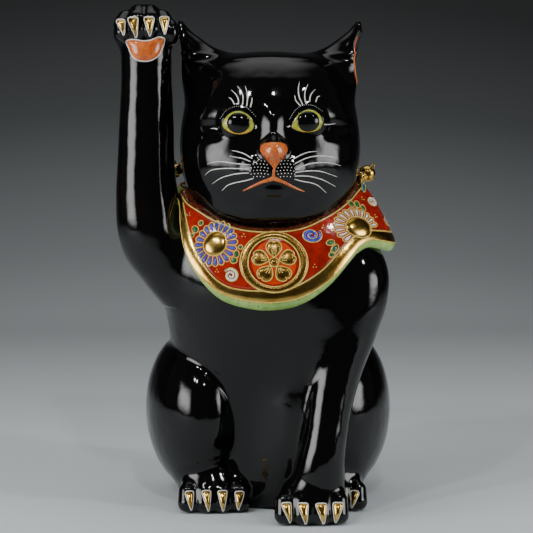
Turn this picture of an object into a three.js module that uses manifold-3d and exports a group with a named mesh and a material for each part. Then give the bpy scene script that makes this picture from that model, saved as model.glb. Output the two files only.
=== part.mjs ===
// Beckoning cat figurine in glazed porcelain, 364 mm tall (12 go, where one go is 30.3 mm).
// The cat sits facing -Y with its right foreleg raised, on the left of a person facing it. The units are
// millimetres, +Z is up, and the origin is the middle of the flat base, on the cat's own mid-plane.
//
// A figurine like this is slip cast in pieces, which are luted together before the firing: a hollow torso,
// head, forelegs and haunches, solid paws, pressed ears and a tail, and a bib slab round the neck. The claws,
// eyes, nose, enamel and gilt work are laid on in relief, and a bell hangs on each side of the neck. Each of
// those pieces is one mesh here.
import * as THREE from "three";
import { LoftGeometry } from "three/addons/geometries/LoftGeometry.js";
import { mergeVertices } from "three/addons/utils/BufferGeometryUtils.js";
import Module from "manifold-3d";

const wasm = await Module();
wasm.setup();

// ---------------------------------------------------------------------------------- driving dimensions
const WALL = 6; // thickness of the cast shells
const GAP = 0.3; // slip joint between two pieces laid against each other
const VENT_RADIUS = 7; // hole in the base that lets the steam out in the kiln
const VENT_Y = 42;
const NECK_WAY = { y: -2, z: 200, height: 48, radius: 26 }; // open way between the torso and the head
const HEAD_FLOOR = 236; // the hollow of the head starts here
const RELIEF = 0.9; // how far the enamel and the gilding stand up
const ORNAMENT_RELIEF = 2.2; // how far the ornaments on the enamel stand up
const SIMPLIFY = 0.13; // how far a face may be from the exact form

// Level sections from the bottom up: [z, x, y, half width, half depth].
const TORSO = [
  [0, 0, 17, 60, 52],
  [14, 0, 18, 64, 56],
  [45, 0, 18, 69, 58],
  [90, 0, 13, 71.5, 61],
  [128, 0, 4, 74, 64],
  [160, 0, -4, 79, 63],
  [184, 0, -6, 79, 58],
  [202, 0, -4, 74, 53],
  [216, 0, 0, 66, 46],
  [230, 0, 5, 56, 38],
  [240, 0, 8, 42, 28],
];
const HEAD = [
  [207, 0, -24, 16, 20],
  [212, 0, -19, 34, 34],
  [221, 0, -14, 49, 46.5],
  [233, 0, -12, 59, 54],
  [247, 0, -10.5, 64, 57.5],
  [262, 0, -10, 65.3, 59],
  [278, 0, -10, 63.5, 58.5],
  [296, 0, -10, 58, 55],
  [312, 0, -9, 52, 48],
  [322, 0, -8, 44, 39],
  [327, 0, -8, 33, 29],
  [329.5, 0, -8, 14, 12],
];
const RAISED_FORELEG = [
  [147, -60, -12, 8, 10],
  [154, -66, -14, 16, 17],
  [166, -73, -15, 20.5, 22],
  [180, -80, -16, 23.5, 25],
  [198, -85.5, -18, 24, 25.5],
  [224, -88.5, -18, 22.5, 24],
  [250, -89.3, -18, 20.5, 22],
  [278, -88.8, -18, 19.5, 20.5],
  [310, -88.5, -18, 18, 19],
  [334, -88.5, -19, 17, 18],
];
const STANDING_FORELEG = [
  [12, 30, -62, 20, 18],
  [30, 31, -63, 20, 19.5],
  [58, 33, -61, 19, 19.5],
  [81, 37, -58, 19.8, 20.5],
  [104, 43, -53, 21.5, 23],
  [128, 50, -45, 25, 27],
  [152, 56, -36, 27, 30],
  [174, 58, -28, 26, 30],
  [192, 55, -22, 21, 26],
  [204, 50, -18, 12, 16],
];
const RIGHT_EAR = [
  [292, -40, -8, 17, 17],
  [306, -44, -7.5, 18.5, 15],
  [318, -47.5, -7, 18.5, 12.5],
  [328, -51.5, -6, 16, 10],
  [336, -56.5, -5.5, 11.2, 8],
  [344, -61.6, -5, 5.6, 5],
  [350, -63.8, -5, 2.4, 2.4],
  [352.5, -64.3, -5, 0.6, 0.6],
];
// The outer face of the bib, from below its lowest edge to above its highest.
const BIB = [
  [140, 0, -8, 94, 69],
  [165, 0, -8, 94, 68],
  [180, 0, -7, 93.5, 66],
  [192, 0, -6, 91.5, 62.5],
  [204, 0, -5, 86.5, 58.5],
  [216, 0, -3, 80.5, 54],
  [230, 0, 0, 72, 48],
  [244, 0, 3, 58, 40],
];
// Outlines on the bib: [degrees round from the front towards the cat's left, height z].
const BIB_LOW = [
  [-64, 226], [-57, 221], [-47, 202], [-38, 182], [-26.5, 165], [-12.5, 157.4], [0, 156], [13, 160.3],
  [25.6, 172], [35.7, 185.7], [40.6, 191.6], [46.6, 195.3], [51.4, 196.6], [59.3, 195.5], [77, 192.4],
  [100, 192], [140, 197], [180, 200], [225, 208], [262, 222],
];
const BIB_HIGH = [
  [-64, 230.5], [-50, 221.5], [-39.7, 216.6], [-29.3, 210.8], [-13.3, 204.6], [0, 203.6], [11.3, 205],
  [28, 213.2], [48, 224.3], [57, 228.6], [69, 232], [90, 234], [262, 234],
];
const BORDER_TOP = [
  [-50.5, 219.5], [-45.4, 211.3], [-40, 201.3], [-34.6, 189.3], [-26, 172.3], [-20.4, 166.9],
  [-13.8, 164.6], [-7.4, 164.4], [7.9, 166.3], [13.1, 170], [19.9, 176.4], [32.2, 192.1], [40, 199],
  [50, 202.5], [61, 202], [81.6, 199.6], [140, 204], [180, 207], [225, 215], [250, 223],
];
// The tail lies against the back and curls round to the cat's left: [x, y, z, radius].
const TAIL = [
  [0, 70, 84, 5],
  [1, 82, 62, 9.5],
  [6, 86, 36, 11.5],
  [22, 83, 17, 11.5],
  [44, 74, 12.5, 10.5],
  [60, 62, 12, 8.5],
  [66, 57, 12.5, 3],
];

const HAUNCH = { x: 55.5, y: 14, z: 66, rx: 35, ry: 60, rz: 59, turn: 13 };
const HIND_FOOT = { x: 42.5, y: -26, halfWidth: 26.5, halfLength: 26, height: 32, toeRadius: 8 };
const FRONT_PAW = { x: 26, y: -64.5, halfWidth: 26.5, halfLength: 25.5, height: 34, toeRadius: 8.5 };
const RAISED_PAW = { x: -89.5, y: -21, z: 343, rx: 23, ry: 20, rz: 20.5, toeRadius: 9.5 };
const PALM_PAD = { y: -35, z: 329, rx: 14, ry: 7, rz: 9 };
const EYE = { x: 24.2, y: -63.2, z: 280, halfWidth: 11.8, halfHeight: 9.3, depth: 4, turn: 21 };
const PUPIL = { radius: 7.7, depth: 3.5, lift: 0.9 };
const EAR_HOLLOW = { x: 67, y: -7, z: 322, rx: 9.5, ry: 9.5, rz: 22, lining: 1.3 };
// The forms that bulge from the face: [centre, half sizes].
const MUZZLE = [[0, -56, 246], [25, 18, 17]];
const RIGHT_WHISKER_PAD = [[-10, -66, 247], [10.5, 9.5, 9.5]];
const LEFT_WHISKER_PAD = [[10, -66, 247], [10.5, 9.5, 9.5]];
const CHIN = [[0, -54, 224], [17, 12, 11]];
const BROW = [[0, -10, 262], [65.3, 59, 66]];
// The corners of the nose leather: [x, y, z, radius].
const NOSE_CORNERS = [
  [-7.2, -72, 263, 3],
  [7.2, -72, 263, 3],
  [0, -75.5, 253.5, 3.6],
];
// The strokes of the mouth across the face: [x, z].
const MOUTH = [
  [[0, 252], [0, 247], [0, 243.5], [0, 240]],
  [[0, 241], [-6, 239.5], [-13, 236], [-21.5, 232]],
  [[0, 241], [6, 239.5], [13, 236], [21.5, 231.5]],
];
const MOUTH_RADIUS = 1.1;
// Where each layer of the bib starts and ends, in degrees round from the front.
const BIB_SPAN = {
  slab: [-63, 262],
  seat: [-57, 257],
  collar: [-56, 256],
  border: [-56, 250],
  field: [-49, 250],
};
const RIM_SLOPE = 0.61; // how steeply the rim under the bib is bevelled
const COLLAR = { inner: -15, outer: -5.3, below: 7.2, above: 2.5 };
const BELL = { radius: 6, ridge: 0.8, places: { left: [73, 13, 241], right: [-71, 14, 247] } };
const MEDALLION = { z: 184, outerRadius: 23.5, innerRadius: 18, stretch: 0.97 };
const BLOSSOM = { petals: 5, radius: 12.2, rise: 3.4 };

// ------------------------------------------------------------------------------------------ materials
const glaze = (color, roughness = 0.06) => new THREE.MeshStandardMaterial({ color, roughness, metalness: 0 });
const BLACK_GLAZE = glaze(0x070708);
const GREEN_GLAZE = glaze(0x9cc77c, 0.12);
const RED_ENAMEL = glaze(0xa3150c, 0.14);
const CRIMSON_GLAZE = glaze(0x5a100c, 0.14);
const VERMILION_ENAMEL = glaze(0xdf4413, 0.14);
const ORANGE_ENAMEL = glaze(0xd5622e, 0.16);
const EYE_ENAMEL = glaze(0xb4ae4c, 0.12);
const BLUE_ENAMEL = glaze(0x4a55b4, 0.15);
const WHITE_ENAMEL = glaze(0xe8e6df, 0.2);
const TURQUOISE_ENAMEL = glaze(0x1f7f86, 0.15);
const GILT = new THREE.MeshStandardMaterial({ color: 0xc79a3a, roughness: 0.14, metalness: 1 });

// ------------------------------------------------------------------------------------- solids and cuts
const WELD = 1e-4; // corners closer together than this are one corner

// A closed geometry as a solid that can be cut and joined.
function solid(geometry) {
  const bare = new THREE.BufferGeometry();
  bare.setAttribute("position", geometry.getAttribute("position")).setIndex(geometry.index);
  const merged = mergeVertices(bare, WELD);
  return new wasm.Manifold(
    new wasm.Mesh({
      numProp: 3,
      vertProperties: new Float32Array(merged.attributes.position.array),
      triVerts: new Uint32Array(merged.index.array),
    }),
  );
}

const join = (shapes) => shapes.reduce((all, shape) => all.add(shape));
const cut = (shape, ...tools) => tools.reduce((rest, tool) => rest.subtract(tool), shape);

const group = new THREE.Group();
group.name = "beckoning_cat";

// Adds a cut solid to the figurine as one named piece. Only its largest body is kept, so that no loose
// sliver stays behind.
function piece(name, shape, material) {
  const bodies = shape.decompose();
  const body = bodies.reduce((best, one) => (one.volume() > best.volume() ? one : best));
  const mesh = body.simplify(SIMPLIFY).getMesh();
  const geometry = new THREE.BufferGeometry()
    .setAttribute("position", new THREE.BufferAttribute(new Float32Array(mesh.vertProperties), 3))
    .setIndex(new THREE.BufferAttribute(new Uint32Array(mesh.triVerts), 1));
  geometry.computeVertexNormals();
  const made = new THREE.Mesh(geometry, material.clone());
  made.name = name;
  group.add(made);
}

// ------------------------------------------------------------------------------------------ basic forms
// A circle of points round a section: centre, two half widths along two directions.
function ringOf(centre, across, along, sides) {
  return Array.from({ length: sides }, (_, side) => {
    const angle = (2 * Math.PI * side) / sides;
    return centre.clone().addScaledVector(across, Math.cos(angle)).addScaledVector(along, Math.sin(angle));
  });
}

const curveOf = (points) => new THREE.CatmullRomCurve3(points.map((p) => new THREE.Vector3(...p)));
const capped = (sections) => solid(new LoftGeometry(sections, { capStart: true, capEnd: true }));

// A smooth column through a table of level sections. Grow widens it all round.
function column(table, grow = 0, { sides = 28, levels = 14 } = {}) {
  const centres = curveOf(table.map(([z, x, y]) => [x, y, z]));
  const radii = curveOf(table.map(([, , , rx, ry]) => [rx, ry, 0]));
  return capped(Array.from({ length: levels + 1 }, (_, level) => {
    const t = level / levels;
    const centre = centres.getPoint(t);
    const radius = radii.getPoint(t);
    centre.z += grow * (2 * t - 1);
    const across = new THREE.Vector3(radius.x + grow, 0, 0);
    return ringOf(centre, across, new THREE.Vector3(0, radius.y + grow, 0), sides);
  }));
}

// A round tube of changing radius along a curve: rows of [x, y, z, radius].
function tube(table, grow = 0, { sides = 12, steps = 14 } = {}) {
  const path = curveOf(table.map(([x, y, z]) => [x, y, z]));
  const radii = curveOf(table.map((row) => [row[3], 0, 0]));
  const frames = path.computeFrenetFrames(steps);
  return capped(Array.from({ length: steps + 1 }, (_, step) => {
    const radius = radii.getPoint(step / steps).x + grow;
    const across = frames.normals[step].clone().multiplyScalar(radius);
    const along = frames.binormals[step].clone().multiplyScalar(radius);
    return ringOf(path.getPoint(step / steps), across, along, sides);
  }));
}

function ellipsoid([x, y, z], [rx, ry, rz], grow = 0, { sides = 16, levels = 10, turn = 0 } = {}) {
  const sphere = new THREE.SphereGeometry(1, sides, levels).rotateX(Math.PI / 2);
  const shaped = sphere.scale(rx + grow, ry + grow, rz + grow).rotateZ(THREE.MathUtils.degToRad(turn));
  return solid(shaped.translate(x, y, z));
}

function block(x0, x1, y0, y1, z0, z1) {
  const box = new THREE.BoxGeometry(x1 - x0, y1 - y0, z1 - z0);
  return solid(box.translate((x0 + x1) / 2, (y0 + y1) / 2, (z0 + z1) / 2));
}

// A cylinder that stands upright, with its base at z.
function upright(x, y, z, height, radius, sides = 24) {
  const cylinder = new THREE.CylinderGeometry(radius, radius, height, sides).rotateX(Math.PI / 2);
  return solid(cylinder.translate(x, y, z + height / 2));
}

const REACH = 150; // further out than any piece
const CEILING = 400; // above every piece
const aboveLevel = (z) => block(-REACH, REACH, -REACH, REACH, z, CEILING);
const ABOVE_FLOOR = aboveLevel(0);
const SIDES = ["right", "left"]; // the cat's own right and left
const outward = { right: -1, left: 1 };

// ------------------------------------------------------------------------------------ torso and head
const SHELL = { sides: 24, levels: 11 };
const HOLLOW = { sides: 14, levels: 6 };
const torsoForm = (grow = 0) => column(TORSO, grow, SHELL);
const muzzleForm = (grow) => join([
  ellipsoid(...MUZZLE, grow, { sides: 16, levels: 10 }),
  ...[RIGHT_WHISKER_PAD, LEFT_WHISKER_PAD, CHIN].map(([centre, halves]) => ellipsoid(
    centre, halves, grow, { sides: 12, levels: 8 })),
]);
const headForm = (grow = 0) => column(HEAD, grow, SHELL).add(muzzleForm(grow));

const torsoCut = torsoForm(GAP);
const headCut = headForm(GAP);
const torsoCavity = column(TORSO, -WALL, HOLLOW).intersect(aboveLevel(WALL));
const headCavity = column(HEAD, -WALL, HOLLOW).intersect(aboveLevel(HEAD_FLOOR));
const neckWay = upright(0, NECK_WAY.y, NECK_WAY.z, NECK_WAY.height, NECK_WAY.radius);
const vent = upright(0, VENT_Y, -5, 30, VENT_RADIUS, 20);
piece("torso_shell", cut(torsoForm(), torsoCavity, neckWay, vent).intersect(ABOVE_FLOOR), BLACK_GLAZE);
piece("head_shell", cut(headForm(), headCavity, torsoCut, neckWay), BLACK_GLAZE);

// ---------------------------------------------------------------------------------------------- haunches
const haunchForm = (side, grow = 0, { sides = 18, levels = 10 } = {}) => ellipsoid(
  [outward[side] * HAUNCH.x, HAUNCH.y, HAUNCH.z], [HAUNCH.rx, HAUNCH.ry, HAUNCH.rz],
  grow, { sides, levels, turn: -outward[side] * HAUNCH.turn });
const haunchCut = { right: haunchForm("right", GAP), left: haunchForm("left", GAP) };
for (const side of SIDES) {
  const hollow = haunchForm(side, -WALL, { sides: 12, levels: 8 });
  piece(side + "_haunch", cut(haunchForm(side), hollow, torsoCut).intersect(ABOVE_FLOOR), BLACK_GLAZE);
}

// ------------------------------------------------------------------------------------------ standing paws
const TOE_SHARES = [-1, -0.34, 0.34, 1]; // of the half width of the row
const TOE_ARC = 4.5; // how far the outer toes stand back
const TOE_LONGER = 3; // how much longer and higher a toe is than it is wide
const PAW_MIDDLE = 0.36; // height of the middle of a paw, as a share of its whole height

// The middle of each toe, spread along a shallow arc across the front of the paw.
function toePlaces(paw, side) {
  return TOE_SHARES.map((share) => [
    outward[side] * paw.x + share * (paw.halfWidth - paw.toeRadius + 1),
    paw.y - paw.halfLength + paw.toeRadius + TOE_LONGER + TOE_ARC * share * share,
    paw.toeRadius - 0.5,
  ]);
}
const toeRadii = ({ toeRadius }) => [toeRadius - 1, toeRadius + TOE_LONGER, toeRadius + TOE_LONGER];

// A paw with a rounded back, flat under the sole, and four toes in front.
function pawForm(paw, side, grow = 0) {
  const back = ellipsoid(
    [outward[side] * paw.x, paw.y + 2, paw.height * PAW_MIDDLE],
    [paw.halfWidth - 1.5, paw.halfLength - 2, paw.height * (1 - PAW_MIDDLE)], grow, { sides: 16, levels: 8 });
  const toes = toePlaces(paw, side).map(
    (toe) => ellipsoid(toe, toeRadii(paw), grow, { sides: 9, levels: 6 }));
  return join([back, ...toes]);
}

const CLAW_WIDTHS = [0.75, 1, 0.9, 0.62, 0.22]; // from its root to its tip

// A gilt claw in relief down the front of a toe, from the first angle above its middle to the second.
function claw([x, y, z], [, ry, rz], { from, to, radius }) {
  const rows = CLAW_WIDTHS.map((width, index) => {
    const angle = THREE.MathUtils.degToRad(from + ((to - from) * index) / (CLAW_WIDTHS.length - 1));
    return [x, y - ry * Math.cos(angle), z + rz * Math.sin(angle), radius * width];
  });
  return tube(rows, 0, { sides: 6, steps: 5 });
}

const STANDING_CLAW = { from: 58, to: -28, radius: 3.2 };
const HIND_CLAW = { from: 55, to: -25, radius: 3 };
const RAISED_CLAW = { from: 38, to: -35, radius: 3.1 };
const CLAW_KEPT = 0.95; // a hind claw that the foreleg covers by more than the rest is left out

const forelegForm = (grow = 0, form = { sides: 18, levels: 9 }) => column(STANDING_FORELEG, grow, form);
const frontPawCut = pawForm(FRONT_PAW, "left", GAP);
const forelegCut = forelegForm(GAP);
const forelegCavity = forelegForm(-WALL, { sides: 10, levels: 6 });
piece(
  "standing_foreleg",
  cut(forelegForm(), forelegCavity, torsoCut, haunchCut.left, frontPawCut).intersect(ABOVE_FLOOR),
  BLACK_GLAZE,
);
const standingPaw = cut(pawForm(FRONT_PAW, "left"), torsoCut, haunchCut.left);
piece("standing_paw", standingPaw.intersect(ABOVE_FLOOR), BLACK_GLAZE);
toePlaces(FRONT_PAW, "left").forEach((toe, index) => {
  const horn = claw(toe, toeRadii(FRONT_PAW), STANDING_CLAW);
  piece("standing_claw_" + (index + 1), cut(horn, frontPawCut), GILT);
});

for (const side of SIDES) {
  const inTheWay = side === "left" ? [frontPawCut, forelegCut] : [];
  const footCut = pawForm(HIND_FOOT, side, GAP);
  const foot = cut(pawForm(HIND_FOOT, side), torsoCut, haunchCut[side], ...inTheWay);
  piece(side + "_hind_foot", foot.intersect(ABOVE_FLOOR), BLACK_GLAZE);
  toePlaces(HIND_FOOT, side).forEach((toe, index) => {
    const whole = cut(claw(toe, toeRadii(HIND_FOOT), HIND_CLAW), footCut);
    const free = cut(whole, ...inTheWay);
    if (free.volume() > CLAW_KEPT * whole.volume()) piece(side + "_hind_claw_" + (index + 1), free, GILT);
  });
}

// -------------------------------------------------------------------------------------- raised foreleg
const raisedForm = (grow = 0, form = { sides: 18, levels: 10 }) => column(RAISED_FORELEG, grow, form);

// The raised paw bends forward at the wrist: four toes over the top, with the claws down their fronts.
const RAISED_TOES = [-1, -0.36, 0.36, 1].map((share) => [
  RAISED_PAW.x + share * (RAISED_PAW.rx - RAISED_PAW.toeRadius + 0.5),
  RAISED_PAW.y - 11 + 5 * share * share,
  RAISED_PAW.z + 7.5 - 5 * share * share,
]);
const RAISED_TOE_RADII = [RAISED_PAW.toeRadius - 1.5, RAISED_PAW.toeRadius + 4, RAISED_PAW.toeRadius + 3.5];
const raisedPawForm = (grow = 0) => join([
  ellipsoid(
    [RAISED_PAW.x, RAISED_PAW.y, RAISED_PAW.z], [RAISED_PAW.rx, RAISED_PAW.ry, RAISED_PAW.rz],
    grow, { sides: 16, levels: 10 }),
  ...RAISED_TOES.map((toe) => ellipsoid(toe, RAISED_TOE_RADII, grow, { sides: 10, levels: 8 })),
]);
const raisedCut = raisedForm(GAP);
const raisedPawCut = raisedPawForm(GAP);
const raisedCavity = raisedForm(-WALL, { sides: 10, levels: 7 });
piece("raised_foreleg", cut(raisedForm(), raisedCavity, torsoCut, headCut, raisedPawCut), BLACK_GLAZE);
piece("raised_paw", raisedPawForm(), BLACK_GLAZE);
RAISED_TOES.forEach((toe, index) => {
  const horn = claw(toe, RAISED_TOE_RADII, RAISED_CLAW);
  piece("raised_claw_" + (index + 1), cut(horn, raisedPawCut), GILT);
});
const palmPad = ellipsoid(
  [RAISED_PAW.x, PALM_PAD.y, PALM_PAD.z], [PALM_PAD.rx, PALM_PAD.ry, PALM_PAD.rz],
  0, { sides: 14, levels: 8 });
piece("raised_paw_pad", cut(palmPad, raisedPawCut, raisedCut), ORANGE_ENAMEL);

// --------------------------------------------------------------------------------------- ears and tail
for (const side of SIDES) {
  const table = RIGHT_EAR.map(([z, x, ...rest]) => [z, -outward[side] * x, ...rest]);
  const form = { sides: 14, levels: 8 };
  const hollow = (grow) => ellipsoid(
    [outward[side] * EAR_HOLLOW.x, EAR_HOLLOW.y, EAR_HOLLOW.z],
    [EAR_HOLLOW.rx, EAR_HOLLOW.ry, EAR_HOLLOW.rz], grow, { sides: 12, levels: 8 });
  piece(side + "_ear", cut(column(table, 0, form), headCut, hollow(0)), BLACK_GLAZE);
  const lining = cut(hollow(-GAP), hollow(-GAP - EAR_HOLLOW.lining)).intersect(column(table, -0.2, form));
  piece(side + "_ear_lining", cut(lining, headCut), ORANGE_ENAMEL);
}
const tail = cut(tube(TAIL, 0, { sides: 12, steps: 12 }), torsoCut, haunchCut.left, haunchCut.right);
piece("tail", tail.intersect(ABOVE_FLOOR), BLACK_GLAZE);

// ---------------------------------------------------------------------------------- eyes, nose and mouth
// A shallow dome set square on the face, turned to look a little outwards.
function dome(side, [halfWidth, halfHeight, depth], lift, grow = 0) {
  const turn = THREE.MathUtils.degToRad(EYE.turn * outward[side]);
  const shape = new THREE.SphereGeometry(1, 16, 8).rotateX(Math.PI / 2)
    .scale(halfWidth + grow, depth + grow, halfHeight + grow).translate(0, -lift, 0).rotateZ(turn);
  return solid(shape.translate(outward[side] * EYE.x, EYE.y, EYE.z));
}
for (const side of SIDES) {
  const eyeForm = dome(side, [EYE.halfWidth, EYE.halfHeight, EYE.depth], 0);
  const pupilForm = (grow) => dome(side, [PUPIL.radius, PUPIL.radius, PUPIL.depth], PUPIL.lift, grow);
  piece(side + "_eye", cut(eyeForm, headCut, pupilForm(GAP)), EYE_ENAMEL);
  piece(side + "_pupil", cut(pupilForm(0), headCut), BLACK_GLAZE);
}

const noseForm = (grow) => wasm.Manifold.hull(
  NOSE_CORNERS.map(([x, y, z, r]) => ellipsoid([x, y, z], [r, r, r], grow, { sides: 10, levels: 6 })));
piece("nose", cut(noseForm(0), headCut), ORANGE_ENAMEL);

// How far forward the face reaches at a place on it.
function faceFront(x, z) {
  const forms = [MUZZLE, RIGHT_WHISKER_PAD, LEFT_WHISKER_PAD, CHIN, BROW];
  const fronts = forms.map(([[cx, cy, cz], [rx, ry, rz]]) => {
    const rest = 1 - ((x - cx) / rx) ** 2 - ((z - cz) / rz) ** 2;
    return rest > 0 ? cy - ry * Math.sqrt(rest) : 0;
  });
  return Math.min(...fronts);
}
const stroke = (points) => tube(
  points.map(([x, z]) => [x, faceFront(x, z) - 0.1, z, MOUTH_RADIUS]), 0, { sides: 6, steps: 6 });
piece("mouth_line", cut(join(MOUTH.map(stroke)), headCut, noseForm(GAP)), ORANGE_ENAMEL);

// --------------------------------------------------------------------------------------------------- bib
// Reads an outline table at an angle.
function outlineAt(table, angle) {
  const after = table.findIndex(([limit]) => limit >= angle);
  if (after <= 0) return after === 0 ? table[0][1] : table[table.length - 1][1];
  const [[a0, z0], [a1, z1]] = [table[after - 1], table[after]];
  return z0 + ((z1 - z0) * (angle - a0)) / (a1 - a0);
}

const bibSection = (z) => {
  const after = Math.max(1, BIB.findIndex(([level]) => level >= z));
  const t = (z - BIB[after - 1][0]) / (BIB[after][0] - BIB[after - 1][0]);
  return BIB[after].map((value, index) => THREE.MathUtils.lerp(BIB[after - 1][index], value, t));
};

// A point on the outer face of the bib, lifted off it by some distance.
function onBib(angle, z, lift) {
  const [, , y, rx, ry] = bibSection(z);
  const radians = THREE.MathUtils.degToRad(angle);
  return new THREE.Vector3((rx + lift) * Math.sin(radians), y - (ry + lift) * Math.cos(radians), z);
}

// A ring-shaped tool that keeps what lies between two outlines of the bib. With a slope, its under side
// falls inwards, which bevels the rim.
function between(from, to, low, high, slope = 0) {
  const [inner, outer] = [-26, 8];
  const count = Math.round((to - from) / 8);
  return capped(Array.from({ length: count + 1 }, (_, index) => {
    const angle = from + ((to - from) * index) / count;
    const bottom = outlineAt(low, angle);
    const top = Math.max(bottom + 0.6, outlineAt(high, angle));
    return [
      onBib(angle, Math.min(bottom + slope * outer, top - 0.4), outer),
      onBib(angle, bottom + slope * inner, inner),
      onBib(angle, top, inner),
      onBib(angle, top, outer),
    ];
  }));
}

// The space inside the bib's face, lifted off it, and the layer between two such faces.
const bibFace = (lift) => column(BIB, lift, { sides: 36, levels: 7 });
const layer = (inner, outer) => cut(bibFace(outer), bibFace(inner));
const raisedBy = (table, rise) => table.map(([angle, z]) => [angle, z + rise]);

const bibTools = [torsoCut, headCut, raisedCut, forelegCut];
const slab = bibFace(0).intersect(between(...BIB_SPAN.slab, BIB_LOW, BIB_HIGH, RIM_SLOPE));
const collarSeat = bibFace(COLLAR.outer + GAP).intersect(between(
  ...BIB_SPAN.seat, raisedBy(BIB_HIGH, -COLLAR.below - GAP), raisedBy(BIB_HIGH, 4)));
const collar = layer(COLLAR.inner, COLLAR.outer).intersect(between(
  ...BIB_SPAN.collar, raisedBy(BIB_HIGH, -COLLAR.below), raisedBy(BIB_HIGH, COLLAR.above)));
piece("bib_slab", cut(slab, ...bibTools, collarSeat), GREEN_GLAZE);
piece("collar_band", cut(collar, ...bibTools), CRIMSON_GLAZE);

const coat = layer(GAP, RELIEF);
const border = coat.intersect(between(...BIB_SPAN.border, raisedBy(BIB_LOW, GAP), BORDER_TOP));
const belowField = between(...BIB_SPAN.border, raisedBy(BIB_LOW, -9), raisedBy(BORDER_TOP, 2 * GAP));
const field = coat.intersect(between(...BIB_SPAN.field, raisedBy(BIB_LOW, -8), raisedBy(BIB_HIGH, -0.4)));
piece("bib_field", cut(field, belowField, raisedCut, headCut), RED_ENAMEL);
piece("bib_border", cut(border, raisedCut, headCut), GILT);

// ----------------------------------------------------------------------------------- ornaments on the bib
// The layer of relief that the ornaments are cut from, just clear of the field and the border.
const ORNAMENT_LAYER = layer(RELIEF + GAP, ORNAMENT_RELIEF);
const STAMP_DEPTH = 26; // the outline is pushed this far through the layer

// A flat outline pressed onto the bib at a place, so that it follows the curve of the face.
function pressed(angle, z, outline, holes = []) {
  const shape = new THREE.Shape(outline);
  shape.holes = holes.map((hole) => new THREE.Path(hole));
  const sweep = { depth: STAMP_DEPTH, bevelEnabled: false, curveSegments: 1 };
  const prism = new THREE.ExtrudeGeometry(shape, sweep);
  const radians = THREE.MathUtils.degToRad(angle);
  const [, , y, rx, ry] = bibSection(z);
  const normal = new THREE.Vector3(Math.sin(radians) / rx, -Math.cos(radians) / ry, 0).normalize();
  const up = new THREE.Vector3(0, 0, 1);
  const across = new THREE.Vector3().crossVectors(up, normal);
  const frame = new THREE.Matrix4().makeBasis(across, up, normal);
  frame.setPosition(onBib(angle, z, -STAMP_DEPTH / 2));
  return solid(prism.applyMatrix4(frame)).intersect(ORNAMENT_LAYER);
}

// A closed outline whose radius changes with the angle round it.
function roundOutline(points, radiusAt, stretch = 1) {
  return Array.from({ length: points }, (_, index) => {
    const angle = (2 * Math.PI * index) / points;
    const radius = radiusAt(angle);
    return new THREE.Vector2(radius * Math.cos(angle), stretch * radius * Math.sin(angle));
  });
}
const scallop = (count, radius, depth) => (angle) => radius - depth * Math.abs(Math.sin((count * angle) / 2));

const roundel = (radius) => roundOutline(24, () => radius, MEDALLION.stretch);
const blossom = (grow) => roundOutline(30, scallop(BLOSSOM.petals, BLOSSOM.radius + grow, -BLOSSOM.rise));
const medallion = (outline, holes) => pressed(0, MEDALLION.z, outline, holes);
piece("medallion_ring", medallion(roundel(MEDALLION.outerRadius), [roundel(MEDALLION.innerRadius)]), GILT);
piece("medallion_ground", medallion(roundel(MEDALLION.innerRadius - GAP), [blossom(0.4)]), VERMILION_ENAMEL);
piece("medallion_blossom", medallion(blossom(0)), GILT);

const ROSETTES = {
  right: { angle: -26.8, z: 195.6, disc: 7.8, petals: 14.6, stretch: 1.08, enamel: BLUE_ENAMEL },
  left: { angle: 46, z: 206, disc: 8.6, petals: 17, stretch: 0.85, enamel: WHITE_ENAMEL },
};
for (const [side, rosette] of Object.entries(ROSETTES)) {
  const { angle, z, disc, petals, stretch, enamel } = rosette;
  const discOutline = roundOutline(16, () => disc, stretch);
  piece("rosette_disc_" + side, pressed(angle, z, discOutline), GILT);
  piece("rosette_petals_" + side, pressed(
    angle, z, roundOutline(40, scallop(10, petals, 1.8), stretch),
    [roundOutline(16, () => disc + GAP, stretch)]), enamel);
}

const COIL = { steps: 14, turns: 1.75, start: 1.2 };

// A coil of raised enamel that winds outwards.
function coil(radius, width) {
  const side = (offset) => Array.from({ length: COIL.steps + 1 }, (_, index) => {
    const angle = (index / COIL.steps) * COIL.turns * 2 * Math.PI;
    const reach = COIL.start + ((radius - COIL.start) * index) / COIL.steps + offset;
    return new THREE.Vector2(reach * Math.cos(angle), reach * Math.sin(angle));
  });
  return [...side(width / 2), ...side(-width / 2).reverse()];
}
piece("coil_white_low", pressed(-18.5, 174.4, coil(5.6, 1.8)), WHITE_ENAMEL);
piece("coil_blue", pressed(17.6, 201, coil(6.8, 2.2)), BLUE_ENAMEL);
piece("coil_white_high", pressed(72, 221.5, coil(4.6, 1.6)), WHITE_ENAMEL);

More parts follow.
